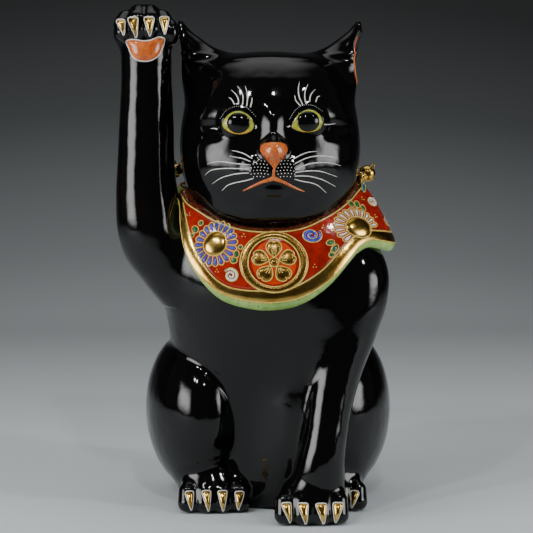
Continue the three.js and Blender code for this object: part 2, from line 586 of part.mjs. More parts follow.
// ------------------------------------------------------------------------------------------------- bells
// On each side of the neck the bib is tied with a ribbon, whose gilt knot holds a bell.
const WHOLE_BIB = [-64, 263];
const bibCut = bibFace(RELIEF + GAP).intersect(between(
  ...WHOLE_BIB, raisedBy(BIB_LOW, -4), raisedBy(BIB_HIGH, GAP)));
const collarCut = bibFace(COLLAR.outer + GAP).intersect(between(
  ...WHOLE_BIB, raisedBy(BIB_HIGH, -8), raisedBy(BIB_HIGH, COLLAR.above + GAP)));
const neckTools = [torsoCut, headCut, raisedCut, bibCut, collarCut];
for (const side of SIDES) {
  const way = outward[side];
  const [x, y, z] = BELL.places[side];
  const ball = ellipsoid([x, y, z], Array(3).fill(BELL.radius), 0, { sides: 14, levels: 8 });
  const ridge = solid(new THREE.TorusGeometry(BELL.radius, BELL.ridge, 6, 14).translate(x, y, z));
  const knotForm = (grow) => ellipsoid(
    [x - 5.5 * way, y - 8, z - 3], [5, 6, 5], grow, { sides: 12, levels: 8 });
  piece(side + "_bell", cut(ball.add(ridge), knotForm(GAP), ...neckTools), GILT);
  piece(side + "_knot", cut(knotForm(0), ...neckTools), GILT);
  const ribbon = tube([
    [x - 7 * way, y - 11, z - 3.5, 1.6],
    [x - 10 * way, y - 20, z - 6.5, 2.8],
    [x - 14 * way, y - 31, z - 9.5, 2.6],
    [x - 18.5 * way, y - 40, z - 12.5, 0.8],
  ], 0, { sides: 8, steps: 7 });
  piece(side + "_ribbon", cut(ribbon, knotForm(GAP), ...neckTools), TURQUOISE_ENAMEL);
}

export default group;
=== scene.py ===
"""Looks of the porcelain beckoning cat: a black-glazed body with raised enamel and gold lustre.

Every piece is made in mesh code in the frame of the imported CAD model. Shapes are worked out in millimetres
and turned to metres when they become meshes. The cat faces -Y, +X is the cat's left, +Z is up. A name with
"right" or "left" in it means the cat's own right or left.
"""
import math

import bpy
import numpy as np
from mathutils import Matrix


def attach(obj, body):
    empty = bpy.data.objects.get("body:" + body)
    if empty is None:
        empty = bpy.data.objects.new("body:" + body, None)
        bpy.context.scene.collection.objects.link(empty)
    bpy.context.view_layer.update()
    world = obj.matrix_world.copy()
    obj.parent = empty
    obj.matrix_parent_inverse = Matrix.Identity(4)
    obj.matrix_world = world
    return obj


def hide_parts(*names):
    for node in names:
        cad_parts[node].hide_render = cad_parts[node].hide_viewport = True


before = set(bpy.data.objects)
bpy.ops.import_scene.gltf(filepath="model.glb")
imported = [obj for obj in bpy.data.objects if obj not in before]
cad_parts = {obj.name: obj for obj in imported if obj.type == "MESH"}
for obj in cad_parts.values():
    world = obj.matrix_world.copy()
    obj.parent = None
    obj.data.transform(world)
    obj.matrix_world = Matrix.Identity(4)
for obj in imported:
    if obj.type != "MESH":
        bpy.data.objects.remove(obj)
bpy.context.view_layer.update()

import openvdb
from mathutils import Vector
from mathutils.bvhtree import BVHTree

MM = 0.001
VOXEL = 1.1  # mm, spacing of the grid that the body is meshed on

# ---- Body: measures in mm
# Level sections from the bottom up: (z, x, y, half width, half depth).
TORSO = [
    (0, 0, 17, 60, 50), (14, 0, 19, 64, 54), (45, 0, 20, 69, 56), (90, 0, 15, 71.5, 59),
    (128, 0, 4, 74, 64), (160, 0, -4, 79, 63), (184, 0, -6, 79, 58), (202, 0, -4, 74, 53),
    (216, 0, 0, 66, 46), (230, 0, 5, 56, 38), (240, 0, 8, 42, 28),
]
HEAD = [
    (203, 0, -28, 24, 20), (208, 0, -24, 41, 34), (214, 0, -19.5, 50, 42.5), (222, 0, -15, 56, 49),
    (233, 0, -12.5, 60.8, 54.5), (247, 0, -10.5, 64, 57.5), (262, 0, -10, 65.3, 59),
    (278, 0, -10, 63.5, 58.5), (296, 0, -10, 58, 55), (312, 0, -9, 52, 48), (322, 0, -8, 44, 39),
    (327, 0, -8, 33, 29), (329.5, 0, -8, 14, 12),
]
RAISED_FORELEG = [
    (147, -60, -12, 8, 10), (154, -66, -14, 16, 17), (166, -73, -15, 20.5, 22), (180, -80, -16, 23.5, 25),
    (198, -85.5, -18, 24, 25.5), (224, -88.5, -18, 22.5, 24), (250, -89.3, -18, 20.5, 22),
    (278, -88.8, -18, 19.5, 20.5), (310, -88.5, -18, 18, 19), (334, -88.5, -19, 17, 18),
    (352, -88.5, -19, 10, 11),
]
STANDING_FORELEG = [
    (0, 30, -62, 20, 18), (28, 31.5, -63, 19, 19), (44, 33.5, -63, 17, 19), (58, 36, -60, 16.4, 19),
    (81, 40, -53, 17, 20), (104, 45, -45.5, 19.8, 22.5), (128, 51, -38, 24, 26), (152, 56, -33, 27, 29),
    (174, 58, -28, 26, 30), (192, 55, -22, 21, 26), (204, 50, -18, 12, 16),
]
SHOULDER = dict(x=(34, 58), z=(95, 150), fillets=(5, 17))  # the fillet grows upward on the leg's inner side
BRISKET = [
    (22, 12, -28, 16, 18), (40, 15, -31, 21, 23), (70, 20, -31, 25, 27), (105, 27, -26, 30, 31),
    (140, 33, -20, 36, 34), (165, 34, -14, 36, 35),
]
EAR = [
    (292, 40, -8, 17, 17), (306, 44, -7.5, 18.5, 15), (318, 47.5, -7, 18.5, 12.5), (328, 51.5, -6, 16, 10),
    (336, 56.5, -5.5, 11.2, 8), (344, 61.6, -5, 5.6, 5), (350, 63.8, -5, 2.4, 2.4), (352.2, 64.3, -5, 1, 1),
]
EAR_HOLLOW = dict(x=68, z=322, radii=(9.5, 9.5, 22))
HOLLOW_DEPTH = {-1: -3.5, 1: -8.5}  # y of the middle of each ear's hollow
TAIL = [  # (x, y, z, radius)
    (0, 66, 96, 4), (0, 70, 84, 7), (1, 80, 62, 10), (6, 85, 36, 11.5), (22, 83, 17, 11.5),
    (44, 74, 12.5, 10.5), (60, 62, 12, 8.5), (66, 57, 12.5, 6),
]
HAUNCH = dict(x=55.5, y=12, z=66, radii=(35.5, 61, 59), turn=10)
HOCK = dict(x=44, y=-8, z=21, radii=(25.5, 33, 21))
HIND_FOOT = dict(x=42.5, y=-26, half_width=26, half_length=25, height=30)
HIND_TOES = (-17.5, -5.2, 7, 19)  # across from the middle of the foot
FRONT_PAW = dict(x=27, y=-64.5, half_width=25.5, half_length=24.5, height=33)
FRONT_TOES = (-19.5, -7, 6, 17.5)
TOE = 7.6  # radius
RAISED_PAW = dict(x=-89.5, y=-21, z=343, radii=(22.3, 17.5, 18.6))
RAISED_TOES = (-14.6, -5, 5, 14.2)
THUMB = ((-70.2, -30, 342.5), (5.2, 8, 9))
NECK_FILLET = ((228, 242), (5, 0.6))  # heights z and fillets there, which leave a gap beside the foreleg

FACE = [  # ellipsoids joined to the head: (middle, radii, fillet)
    ((0, -56, 246), (25, 18, 17), 12),  # muzzle
    ((-14, -24, 251), (44, 41.5, 30), 9), ((14, -24, 251), (44, 41.5, 30), 9),  # cheeks
    ((-10, -66, 247), (10.5, 9.5, 9.5), 4), ((8.5, -66, 247), (10.5, 9.5, 9.5), 4),  # whisker pads
    ((0, -70, 259.5), (9.4, 6, 7), 4),  # nose
    ((0, -54, 224), (17, 12, 11), 8),  # chin
    ((0, -66, 233.6), (11, 7, 5.2), 3),  # lower lip
    ((-24.2, -57, 279.5), (13.5, 8.2, 11), 4), ((23.5, -57, 280.5), (13.5, 8.2, 11), 4),  # eyeballs
]
TEMPLE = [(43.5, -60, 275.5, 6.6), (60.7, -40.8, 273.5, 5.6)]  # the groove behind the eye: (x, y, z, radius)
# The bridge of the nose. It rises over each pair of places, from nothing at the first to full at the second.
BRIDGE = dict(x=-0.5, width=6.4, rise=4.2, y=(-20, -40), foot=(250, 260), top=(299, 278))
FILLET = dict(temple=7, ear_hollow=2, ear=13, foreleg=14, brisket=18, haunch=4, hock=7, toe=2.2, hind_foot=4,
              front_paw=5, tail=5, raised_toe=1.2, raised_paw=5, sole=3.5)


# ---- Distance functions
# A form is a function that takes three arrays x, y, z and gives about how far each point lies outside it.
REACH = 16.0  # mm, how far outside its own box a small form is still worked out
LEVEL_STEP = 0.5  # mm, spacing of the levels that a column is tabled at


def local(form, low, high):
    """The form, worked out only near its own box. Further out it counts as far away."""
    low, high = np.array(low, float) - REACH, np.array(high, float) + REACH

    def distance(x, y, z):
        inside = (x > low[0]) & (x < high[0]) & (y > low[1]) & (y < high[1]) & (z > low[2]) & (z < high[2])
        found = np.full(x.shape, 2.0 * REACH)
        if inside.any():
            found[inside] = form(x[inside], y[inside], z[inside])
        return found

    return distance


def quadric(g, slope_squared):
    """Distance to the surface where g is zero, exact for a sphere, from g and its squared gradient."""
    half = np.sqrt(slope_squared) / 2
    return g / (half + np.sqrt(np.maximum(half * half - g, 0) + 1e-6))

def curve_through(knots, values, at):
    """A smooth curve through values at knots, which runs straight on beyond its ends."""
    knots, values = np.asarray(knots, float), np.asarray(values, float)
    gaps = np.diff(knots)
    rises = np.diff(values) / gaps
    inner = (rises[:-1] * gaps[1:] + rises[1:] * gaps[:-1]) / (gaps[:-1] + gaps[1:])
    tangents = np.concatenate([rises[:1], inner, rises[-1:]])
    i = np.clip(np.searchsorted(knots, at) - 1, 0, len(gaps) - 1)
    t = np.clip((at - knots[i]) / gaps[i], 0, 1)
    ends = values[i] * (1 + 2 * t) * (1 - t) ** 2 + values[i + 1] * t * t * (3 - 2 * t)
    leans = tangents[i] * gaps[i] * t * (1 - t) ** 2 + tangents[i + 1] * gaps[i] * t * t * (t - 1)
    below, above = np.minimum(at - knots[0], 0), np.maximum(at - knots[-1], 0)
    return ends + leans + below * tangents[0] + above * tangents[-1]


def column(rows):
    """A form with level elliptical sections, closed with a round end where the sections run out."""
    rows = np.array(rows, float)
    knots, width, depth = rows[:, 0], rows[:, 3], rows[:, 4]
    levels = np.arange(knots[0] - 30, knots[-1] + 30, LEVEL_STEP)
    held = np.clip(levels, knots[0], knots[-1])
    x0, y0 = (curve_through(knots, rows[:, k], held) for k in (1, 2))
    area = curve_through(knots, width ** 2, levels)
    ratio = curve_through(knots, width / depth, held)
    parts = [x0, y0, area, ratio] + [np.gradient(v, LEVEL_STEP) for v in (x0, y0, area, ratio)]

    def distance(x, y, z):
        cx, cy, a, r, dcx, dcy, da, dr = (np.interp(z, levels, v) for v in parts)
        dx, dy = x - cx, y - cy
        g = dx * dx + (dy * r) ** 2 - a
        gz = -da - 2 * dx * dcx - 2 * dy * r * r * dcy + 2 * dy * dy * r * dr
        return quadric(g, 4 * dx * dx + 4 * (dy * r * r) ** 2 + gz * gz)

    low = [(rows[:, 1] - width).min(), (rows[:, 2] - depth).min(), knots[0] - 4]
    high = [(rows[:, 1] + width).max(), (rows[:, 2] + depth).max(), knots[-1] + 4]
    return local(distance, low, high)


def ellipsoid(centre, radii, turn=0):
    """An ellipsoid turned about Z by an angle in degrees."""
    rx, ry, rz = radii
    size = sum(radii) / 3
    ct, st = math.cos(math.radians(turn)), math.sin(math.radians(turn))

    def distance(x, y, z):
        dx, dy, dz = x - centre[0], y - centre[1], z - centre[2]
        a, b, c = (dx * ct + dy * st) / rx, (dy * ct - dx * st) / ry, dz / rz
        g = (a * a + b * b + c * c - 1) * size * size
        return quadric(g, 4 * size ** 4 * ((a / rx) ** 2 + (b / ry) ** 2 + (c / rz) ** 2))

    wide = max(rx, ry)
    return local(distance, np.array(centre) - (wide, wide, rz), np.array(centre) + (wide, wide, rz))


def capsules(spots):
    """A round form of changing radius along a chain of straight steps through spots (x, y, z, radius)."""
    spots = np.array(spots, float)

    def distance(x, y, z):
        best = np.full(x.shape, 1e3)
        for a, b in zip(spots[:-1], spots[1:]):
            step = b - a
            along = (x - a[0]) * step[0] + (y - a[1]) * step[1] + (z - a[2]) * step[2]
            t = np.clip(along / (step[:3] @ step[:3]), 0, 1)
            gap = np.sqrt(sum((c - a[k] - t * step[k]) ** 2 for k, c in enumerate((x, y, z))))
            best = np.minimum(best, gap - a[3] - t * step[3])
        return best

    thick = spots[:, 3:4]
    return local(distance, (spots[:, :3] - thick).min(0), (spots[:, :3] + thick).max(0))


def smooth_path(rows, steps):
    """Rows of numbers, filled in along a smooth curve with so many steps from row to row."""
    rows = np.array(rows, float)
    if len(rows) == 2:
        rows = np.array([rows[0], (rows[0] + rows[1]) / 2, rows[1]])
    knots = np.arange(len(rows), dtype=float)
    fine = np.linspace(0, len(rows) - 1, steps * (len(rows) - 1) + 1)
    return np.stack([curve_through(knots, rows[:, k], fine) for k in range(rows.shape[1])], 1)

def smooth_loop(rows, steps):
    """Rows of numbers, filled in along a smooth closed curve."""
    rows = [tuple(r) for r in rows]
    padded = smooth_path(rows[-2:] + rows + rows[:3], steps)
    return padded[2 * steps:(2 + len(rows)) * steps]


def join(a, b, soft):
    """The two forms together, with a fillet about soft mm wide between them."""
    h = np.maximum(soft - np.abs(a - b), 0) / soft
    return np.minimum(a, b) - h * h * soft / 4


def carve(a, b, soft):
    """The first form with the second taken out of it."""
    return -join(-a, b, soft)

def ease(value, start, end):
    """Runs smoothly from 0 at start to 1 at end."""
    share = np.clip((value - start) / (end - start), 0, 1)
    return share * share * (3 - 2 * share)


# ---- Body: the form
def paw_forms(paw, toes, side):
    """The rounded back of a paw, and each toe from its knuckle to its tip."""
    x, y, width, length, height = (paw[k] for k in ("x", "y", "half_width", "half_length", "height"))
    back = ellipsoid((side * x, y + 2, height * 0.36), (width - 1.5, length - 2, height * 0.64))
    made = []
    for across in toes:
        tip_x = side * x + across
        tip_y = y - length + TOE + 4.5 * (across / width) ** 2
        made.append(capsules([
            (tip_x - 0.25 * across, tip_y + 15, height * 0.68, TOE - 1.4),
            (tip_x, tip_y + 4.5, height * 0.47, TOE - 0.4),
            (tip_x, tip_y + 1, TOE - 0.6, TOE),
        ]))
    return back, made


def raised_paw_forms():
    """The back of the raised paw, and its toes, which bend over the top to the front."""
    x, y, z = (RAISED_PAW[k] for k in "xyz")
    back = ellipsoid((x, y + 2.5, z), RAISED_PAW["radii"])
    made = []
    for across in RAISED_TOES:
        drop = 4.6 * (across / 15) ** 2
        made.append(capsules([
            (x + 0.8 * across, y + 4, z + 12.4 - drop, 7.2),
            (x + 0.86 * across, y - 4, z + 12.6 - drop, 7.2),
            (x + across, y - 11 + drop * 0.6, z + 9 - drop, 7),
            (x + across, y - 13.5 + drop * 0.7, z + 2 - drop * 0.6, 6.2),
        ]))
    return back, made


def at_side(measures, side):
    """The ellipsoid that measures give, on one side of the body."""
    middle = (side * measures["x"], measures["y"], measures["z"])
    return ellipsoid(middle, measures["radii"], -side * measures.get("turn", 0))


def make_body():
    """The distance function of the whole glazed body."""
    torso, head, raised, standing, brisket = (
        column(rows) for rows in (TORSO, HEAD, RAISED_FORELEG, STANDING_FORELEG, BRISKET))
    tail = capsules(smooth_path(TAIL, 4))
    front, lifted, thumb = paw_forms(FRONT_PAW, FRONT_TOES, 1), raised_paw_forms(), ellipsoid(*THUMB)
    face = [(ellipsoid(middle, radii), fillet) for middle, radii, fillet in FACE]
    legs, temples, ears = [], [], []
    for s in (-1, 1):
        legs.append((at_side(HAUNCH, s), at_side(HOCK, s), paw_forms(HIND_FOOT, HIND_TOES, s)))
        temples.append(capsules([(s * x, y, z, radius) for x, y, z, radius in TEMPLE]))
        hollow = at_side(dict(EAR_HOLLOW, y=HOLLOW_DEPTH[s]), s)
        ears.append((column([(z, s * x, y, a, b) for z, x, y, a, b in EAR]), hollow))

    def paw(p, forms, soft):
        back, toes = forms
        d = back(*p)
        for toe in toes:
            d = join(d, toe(*p), soft)
        return d

    def distance(x, y, z):
        p = (x, y, z)
        d_head = head(*p)
        for temple in temples:
            d_head = carve(d_head, temple(*p), FILLET["temple"])
        for form, soft in face:
            d_head = join(d_head, form(*p), soft)
        lift = np.exp(-(((x - BRIDGE["x"]) / BRIDGE["width"]) ** 2)) * ease(y, *BRIDGE["y"])
        d_head = d_head - BRIDGE["rise"] * lift * ease(z, *BRIDGE["foot"]) * ease(z, *BRIDGE["top"])
        for ear, hollow in ears:
            d_head = join(d_head, carve(ear(*p), hollow(*p), FILLET["ear_hollow"]), FILLET["ear"])
        d = join(torso(*p), raised(*p), FILLET["foreleg"])
        d = join(join(d, d_head, np.interp(z, *NECK_FILLET)), brisket(*p), FILLET["brisket"])
        inner = np.interp(x, SHOULDER["x"], (1, 0)) * np.interp(z, SHOULDER["z"], (0, 1))
        least, more = SHOULDER["fillets"]
        d = join(d, standing(*p), least + more * inner)
        for haunch, hock, foot in legs:
            d = join(join(d, haunch(*p), FILLET["haunch"]), hock(*p), FILLET["hock"])
            d = join(d, paw(p, foot, FILLET["toe"]), FILLET["hind_foot"])
        d = join(d, paw(p, front, FILLET["toe"]), FILLET["front_paw"])
        d = join(d, tail(*p), FILLET["tail"])
        raised_paw = join(paw(p, lifted, FILLET["raised_toe"]), thumb(*p), FILLET["raised_toe"])
        return carve(join(d, raised_paw, FILLET["raised_paw"]), z, FILLET["sole"])

    return distance


def gradient(form, x, y, z, step=0.25):
    """The outward direction of a form at points on it."""
    g = np.stack([
        form(x + step, y, z) - form(x - step, y, z),
        form(x, y + step, z) - form(x, y - step, z),
        form(x, y, z + step) - form(x, y, z - step),
    ], 1)
    return g / np.maximum(np.linalg.norm(g, axis=1, keepdims=True), 1e-9)


def mesh_form(form, low, high, voxel):
    """Vertices, faces and normals of a form's surface. The fine grid is filled only close to the surface."""
    coarse = 4
    counts = (np.ceil((np.array(high) - low) / voxel / coarse) * coarse).astype(int) + coarse
    axes = [low[k] + voxel * np.arange(counts[k]) for k in range(3)]
    rough_axes = [a[coarse // 2:: coarse] for a in axes]
    rough = form(*(g.ravel() for g in np.meshgrid(*rough_axes, indexing="ij")))
    rough = rough.reshape([len(a) for a in rough_axes])
    grid = np.repeat(np.repeat(np.repeat(rough, coarse, 0), coarse, 1), coarse, 2)
    near = np.nonzero(np.abs(grid) < voxel * coarse * 1.6)
    grid[near] = form(*(axes[k][near[k]] for k in range(3)))
    vdb = openvdb.FloatGrid(float(voxel * coarse))
    vdb.copyFromArray(np.ascontiguousarray(grid, dtype=np.float32))
    points, quads = vdb.convertToQuads(0.0)
    points = points.astype(float) * voxel + low
    for _ in range(3):
        normals = gradient(form, *points.T)
        points -= normals * np.clip(form(*points.T), -voxel, voxel)[:, None]
    normals = gradient(form, *points.T)
    a, b, c = (points[quads[:, k]] for k in range(3))
    facing = np.einsum("ij,ij->i", np.cross(b - a, c - a), normals[quads[:, 0]])
    if facing.sum() < 0:
        quads = quads[:, ::-1]
    return points, quads, normals


def new_object(name, points, faces, material, normals=None):
    """A smooth mesh object from points in metres, linked to the scene."""
    mesh = bpy.data.meshes.new(name)
    mesh.from_pydata(points, [], faces)
    mesh.polygons.foreach_set("use_smooth", [True] * len(mesh.polygons))
    mesh.materials.append(material)
    if normals is not None:
        mesh.normals_split_custom_set_from_vertices([tuple(n) for n in normals])
    mesh.update()
    made = bpy.data.objects.new(name, mesh)
    bpy.context.scene.collection.objects.link(made)
    return made


def new_piece(name, points, faces, material, replaced, normals=None):
    """A piece from millimetre points, riding on the figurine's one body."""
    points = (np.asarray(points, float) * MM).tolist()
    made = new_object(name, points, [list(map(int, f)) for f in faces], material, normals)
    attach(made, "root")
    if replaced:
        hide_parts(*replaced)


def unit(v):
    return v / np.maximum(np.linalg.norm(v, axis=-1, keepdims=True), 1e-9)


def circle(count):
    """Evenly spaced angles once round, in radians."""
    return np.linspace(0, 2 * math.pi, count, endpoint=False)


def lofted(rings, looped=False):
    """Faces that skin equally long closed rings, which end in two caps or run on to the first ring again."""
    count, around = len(rings), len(rings[0])
    faces = []
    for i in range(count if looped else count - 1):
        a, b = i * around, (i + 1) % count * around
        faces += [[a + j, a + (j + 1) % around, b + (j + 1) % around, b + j] for j in range(around)]
    if not looped:
        faces.append(list(range(around))[::-1])
        faces.append([(count - 1) * around + j for j in range(around)])
    return faces


def outward(points, faces):
    """The faces, turned over when the closed form they make has a negative volume."""
    volume = 0.0
    for f in faces:
        a = points[f[0]]
        for b, c in zip(f[1:-1], f[2:]):
            volume += np.dot(a, np.cross(points[b], points[c]))
    return [f[::-1] for f in faces] if volume < 0 else faces


class Batch:
    """Points and faces of many small forms that become one piece."""

    def __init__(self):
        self.points, self.faces = [], []

    def add(self, points, faces):
        start = len(self.points)
        self.points.extend(map(tuple, points))
        self.faces.extend([start + i for i in f] for f in faces)

    def skin(self, rings, looped=False):
        """Adds the closed form that runs through rings of points."""
        points = np.concatenate(rings)
        self.add(points, outward(points, lofted(rings, looped)))

    def piece(self, name, material, *replaced):
        new_piece(name, self.points, self.faces, material, replaced)


def bead(batch, met, widths, heights, around=8, looped=False):
    """A raised line: an oval bead of half width and half height along (spot, normal) pairs on a surface."""
    spots, normals = (np.array(part, float) for part in zip(*met))
    if looped:
        along = unit(np.roll(spots, -1, 0) - np.roll(spots, 1, 0))
    else:
        along = unit(np.gradient(spots, axis=0))
    across = unit(np.cross(along, normals))
    upward = unit(np.cross(across, along))
    widths = np.broadcast_to(widths, len(spots))
    heights = np.broadcast_to(heights, len(spots))
    rings = [
        [p + s * w * math.cos(t) + u * h * math.sin(t) for t in circle(around)]
        for p, s, u, w, h in zip(spots, across, upward, widths, heights)
    ]
    batch.add(np.concatenate(rings), lofted(rings, looped))


def swell(share, height, rim):
    """How far a patch stands up at a share of the way out: height in its middle, rim at its edge."""
    return rim + (height - rim) * np.sqrt(np.maximum(1 - share ** 4, 0))


def patch(batch, outline, place, height, rim=-0.25, rings=5, dome=0.0, centre=None):
    """A pillow-shaped patch of enamel inside an outline of (u, v), laid on a surface by place(u, v, lift)."""
    outline = np.asarray(outline, float)
    middle = outline.mean(0) if centre is None else np.array(centre, float)
    points = [place(*middle, height + dome)]
    for share in np.sin(np.linspace(0, math.pi / 2, rings + 1))[1:]:
        lift = swell(share, height, rim) + dome * (1 - share * share)
        points += [place(u, v, lift) for u, v in middle + (outline - middle) * share]
    points.append(place(*middle, min(rim, 0) - 0.4))
    count, bottom = len(outline), len(points) - 1
    after = [(j + 1) % count for j in range(count)]
    faces = [[0, 1 + j, 1 + k] for j, k in enumerate(after)]
    for i in range(rings - 1):
        a, b = 1 + i * count, 1 + (i + 1) * count
        faces += [[a + j, b + j, b + k, a + k] for j, k in enumerate(after)]
    edge = 1 + (rings - 1) * count
    faces += [[edge + j, bottom, edge + k] for j, k in enumerate(after)]
    a, b, c = (np.array(points[i]) for i in faces[0])
    up = place(*middle, 1.0) - place(*middle, 0.0)
    if np.dot(np.cross(b - a, c - a), up) < 0:
        faces = [f[::-1] for f in faces]
    batch.add(points, faces)


def patch_piece(name, material, replaced, outline, place, height, **shape):
    """A patch that is a piece of its own."""
    batch = Batch()
    patch(batch, outline, place, height, **shape)
    batch.piece(name, material, replaced)


# ---- Materials
BLACK, WHITE = (0, 0, 0), (1, 1, 1)


def put(tree, value, socket):
    """Links a node's output to a socket, or sets the socket's own value."""
    if isinstance(value, bpy.types.NodeSocket):
        tree.links.new(value, socket)
    else:
        socket.default_value = value


def node(tree, kind, inputs=None, **settings):
    """A new node. Its inputs are given as values or as other nodes' outputs."""
    made = tree.nodes.new("ShaderNode" + kind)
    for key, value in settings.items():
        setattr(made, key, value)
    for key, value in (inputs or {}).items():
        put(tree, value, made.inputs[key])
    return made


def own_metres(tree):
    return node(tree, "TexCoord").outputs["Object"]


def noise(tree, scale, detail=2.0, roughness=0.5):
    """A noise texture over the object's own metres, as a factor output."""
    inputs = {"Vector": own_metres(tree), "Scale": scale, "Detail": detail, "Roughness": roughness}
    return node(tree, "TexNoise", inputs).outputs["Fac"]


def ramp(tree, source, stops):
    """A colour ramp from (position, colour) stops."""
    made = node(tree, "ValToRGB", {"Fac": source})
    elements = made.color_ramp.elements
    while len(elements) < len(stops):
        elements.new(0.5)
    for element, (position, color) in zip(elements, stops):
        element.position = position
        element.color = (*color, 1)
    return made.outputs["Color"]


def spread(tree, source, low, high, ends=(0.3, 0.7)):
    """A factor that runs from low to high while the source runs between its ends."""
    inputs = {"Value": source, "From Min": ends[0], "From Max": ends[1], "To Min": low, "To Max": high}
    return node(tree, "MapRange", inputs).outputs["Result"]


def mix(tree, factor, a, b):
    """Colour a where the factor is 0 and colour b where it is 1; each is a socket or a plain colour."""
    made = node(tree, "Mix", {"Factor": factor}, data_type="RGBA")
    sockets = {s.name: s for s in made.inputs if s.type == "RGBA"}
    for key, value in (("A", a), ("B", b)):
        put(tree, (*value, 1) if isinstance(value, tuple) else value, sockets[key])
    return [s for s in made.outputs if s.type == "RGBA"][0]


def bump(tree, source, distance, under=None):
    """A relief of so many metres, on top of the one under it."""
    made = node(tree, "Bump", {"Height": source, "Distance": distance, "Strength": 1.0})
    if under is not None:
        put(tree, under, made.inputs["Normal"])
    return made.outputs["Normal"]


def material_tree(name):
    """A new material for a slot of the record, and its node tree."""
    material = bpy.data.materials.new(name)
    material.use_nodes = True
    return material, material.node_tree


def finish(material, inputs):
    """The material, with the inputs of its shader set or linked."""
    tree = material.node_tree
    for key, value in inputs.items():
        put(tree, value, tree.nodes["Principled BSDF"].inputs[key])
    return material


def ceramic(name, deep, pale, mottle, gloss=(0.06, 0.14)):
    """A fired enamel or glaze: mottled colour, pooled depth, a soft skin and fine pinprick grain."""
    material, tree = material_tree(name)
    base = ramp(tree, noise(tree, mottle, 4, 0.6), [(0.32, deep), (0.68, pale)])
    speck = ramp(tree, noise(tree, mottle * 7), [(0.3, WHITE), (0.42, BLACK)])
    skin_relief = bump(tree, noise(tree, 180), 0.00012)
    return finish(material, {
        "Base Color": mix(tree, speck, base, tuple(c * 0.8 for c in deep)),
        "Roughness": spread(tree, noise(tree, mottle * 2.5, 3), *gloss),
        "Normal": bump(tree, noise(tree, 1400), 0.00002, skin_relief),
        "IOR": 1.52,
    })


def gilding(name, deep, pale, gloss, relief):
    """Burnished gold lustre over glaze, with brush marks and thin brownish places."""
    material, tree = material_tree(name)
    brushed = noise(tree, 650, 3, 0.6)
    return finish(material, {
        "Base Color": ramp(tree, noise(tree, 70), [(0.3, deep), (0.7, pale)]),
        "Roughness": spread(tree, brushed, *gloss),
        "Normal": bump(tree, brushed, relief, bump(tree, noise(tree, 90), 0.00025)),
        "Metallic": 1.0,
    })


def make_black_glaze():
    """Thick glossy black glaze with a slow waviness, faint specks and a brown cast where it is thin."""
    material, tree = material_tree("black_glaze")
    base = ramp(tree, noise(tree, 14, 3, 0.55), [
        (0.3, (0.0016, 0.0016, 0.0018)), (0.62, (0.0022, 0.002, 0.002)), (0.85, (0.006, 0.003, 0.0022))])
    speck = ramp(tree, noise(tree, 900, 2, 0.4), [(0.74, BLACK), (0.80, WHITE)])
    slow = bump(tree, noise(tree, 30, 2, 0.45), 0.0012)
    quick = bump(tree, noise(tree, 120), 0.00012, slow)
    return finish(material, {
        "Base Color": mix(tree, speck, base, (0.03, 0.026, 0.024)),
        "Roughness": spread(tree, noise(tree, 45, 4, 0.6), 0.035, 0.085),
        "Normal": bump(tree, noise(tree, 1500, 1), 0.000012, quick),
        "IOR": 1.43,
    })


def make_collar_glaze():
    """Dark crimson glaze dusted with flecks of gold."""
    material, tree = material_tree("crimson_dusted")
    base = ramp(tree, noise(tree, 160, 4, 0.6), [(0.35, (0.035, 0.004, 0.002)), (0.65, (0.13, 0.012, 0.006))])
    dust = ramp(tree, noise(tree, 520, 3, 0.65), [(0.54, BLACK), (0.60, WHITE)])
    return finish(material, {
        "Base Color": mix(tree, dust, base, (0.75, 0.50, 0.16)),
        "Metallic": dust,
        "Roughness": spread(tree, noise(tree, 300, 3), 0.08, 0.25),
        "Normal": bump(tree, dust, 0.00008),
    })


def make_eye_enamel():
    """Yellow-green enamel that turns to orange-yellow along the lower lid."""
    material, tree = material_tree("eye_enamel")
    height = node(tree, "SeparateXYZ", {"Vector": own_metres(tree)}).outputs["Z"]
    above_lid = spread(tree, height, 0, 1, ends=(0.2722, 0.2755))
    wisps = ramp(tree, noise(tree, 420, 4, 0.6), [(0.35, (0.26, 0.29, 0.025)), (0.62, (0.50, 0.52, 0.07))])
    return finish(material, {
        "Base Color": mix(tree, above_lid, (0.80, 0.42, 0.03), wisps),
        "Roughness": spread(tree, noise(tree, 300, 3), 0.08, 0.18),
        "Normal": bump(tree, noise(tree, 500), 0.00005),
    })


black_glaze = make_black_glaze()
collar_glaze = make_collar_glaze()
eye_enamel = make_eye_enamel()
SATIN, MATT = (0.16, 0.3), (0.18, 0.32)  # roughness of the less glossy enamels
red_enamel = ceramic("red_enamel", (0.20, 0.008, 0.004), (0.42, 0.020, 0.007), 70)
vermilion_enamel = ceramic(
    "vermilion_enamel", (0.55, 0.035, 0.004), (0.76, 0.075, 0.008), 110)
orange_enamel = ceramic("orange_enamel", (0.47, 0.075, 0.012), (0.68, 0.19, 0.042), 160)
nostril_enamel = ceramic("nostril_enamel", (0.24, 0.03, 0.01), (0.42, 0.07, 0.02), 200)
rim_glaze = ceramic("rim_green_glaze", (0.23, 0.42, 0.085), (0.44, 0.64, 0.19), 60)
leaf_enamel = ceramic("leaf_green_enamel", (0.004, 0.07, 0.022), (0.02, 0.19, 0.06), 260)
blue_enamel = ceramic("blue_enamel", (0.028, 0.035, 0.30), (0.10, 0.13, 0.62), 240)
white_enamel = ceramic("white_enamel", (0.62, 0.60, 0.55), (0.90, 0.89, 0.85), 240, MATT)
turquoise_enamel = ceramic(
    "turquoise_enamel", (0.005, 0.10, 0.12), (0.02, 0.27, 0.27), 240)
yellow_line = ceramic("raised_yellow_line", (0.52, 0.34, 0.045), (0.86, 0.66, 0.18), 300, SATIN)
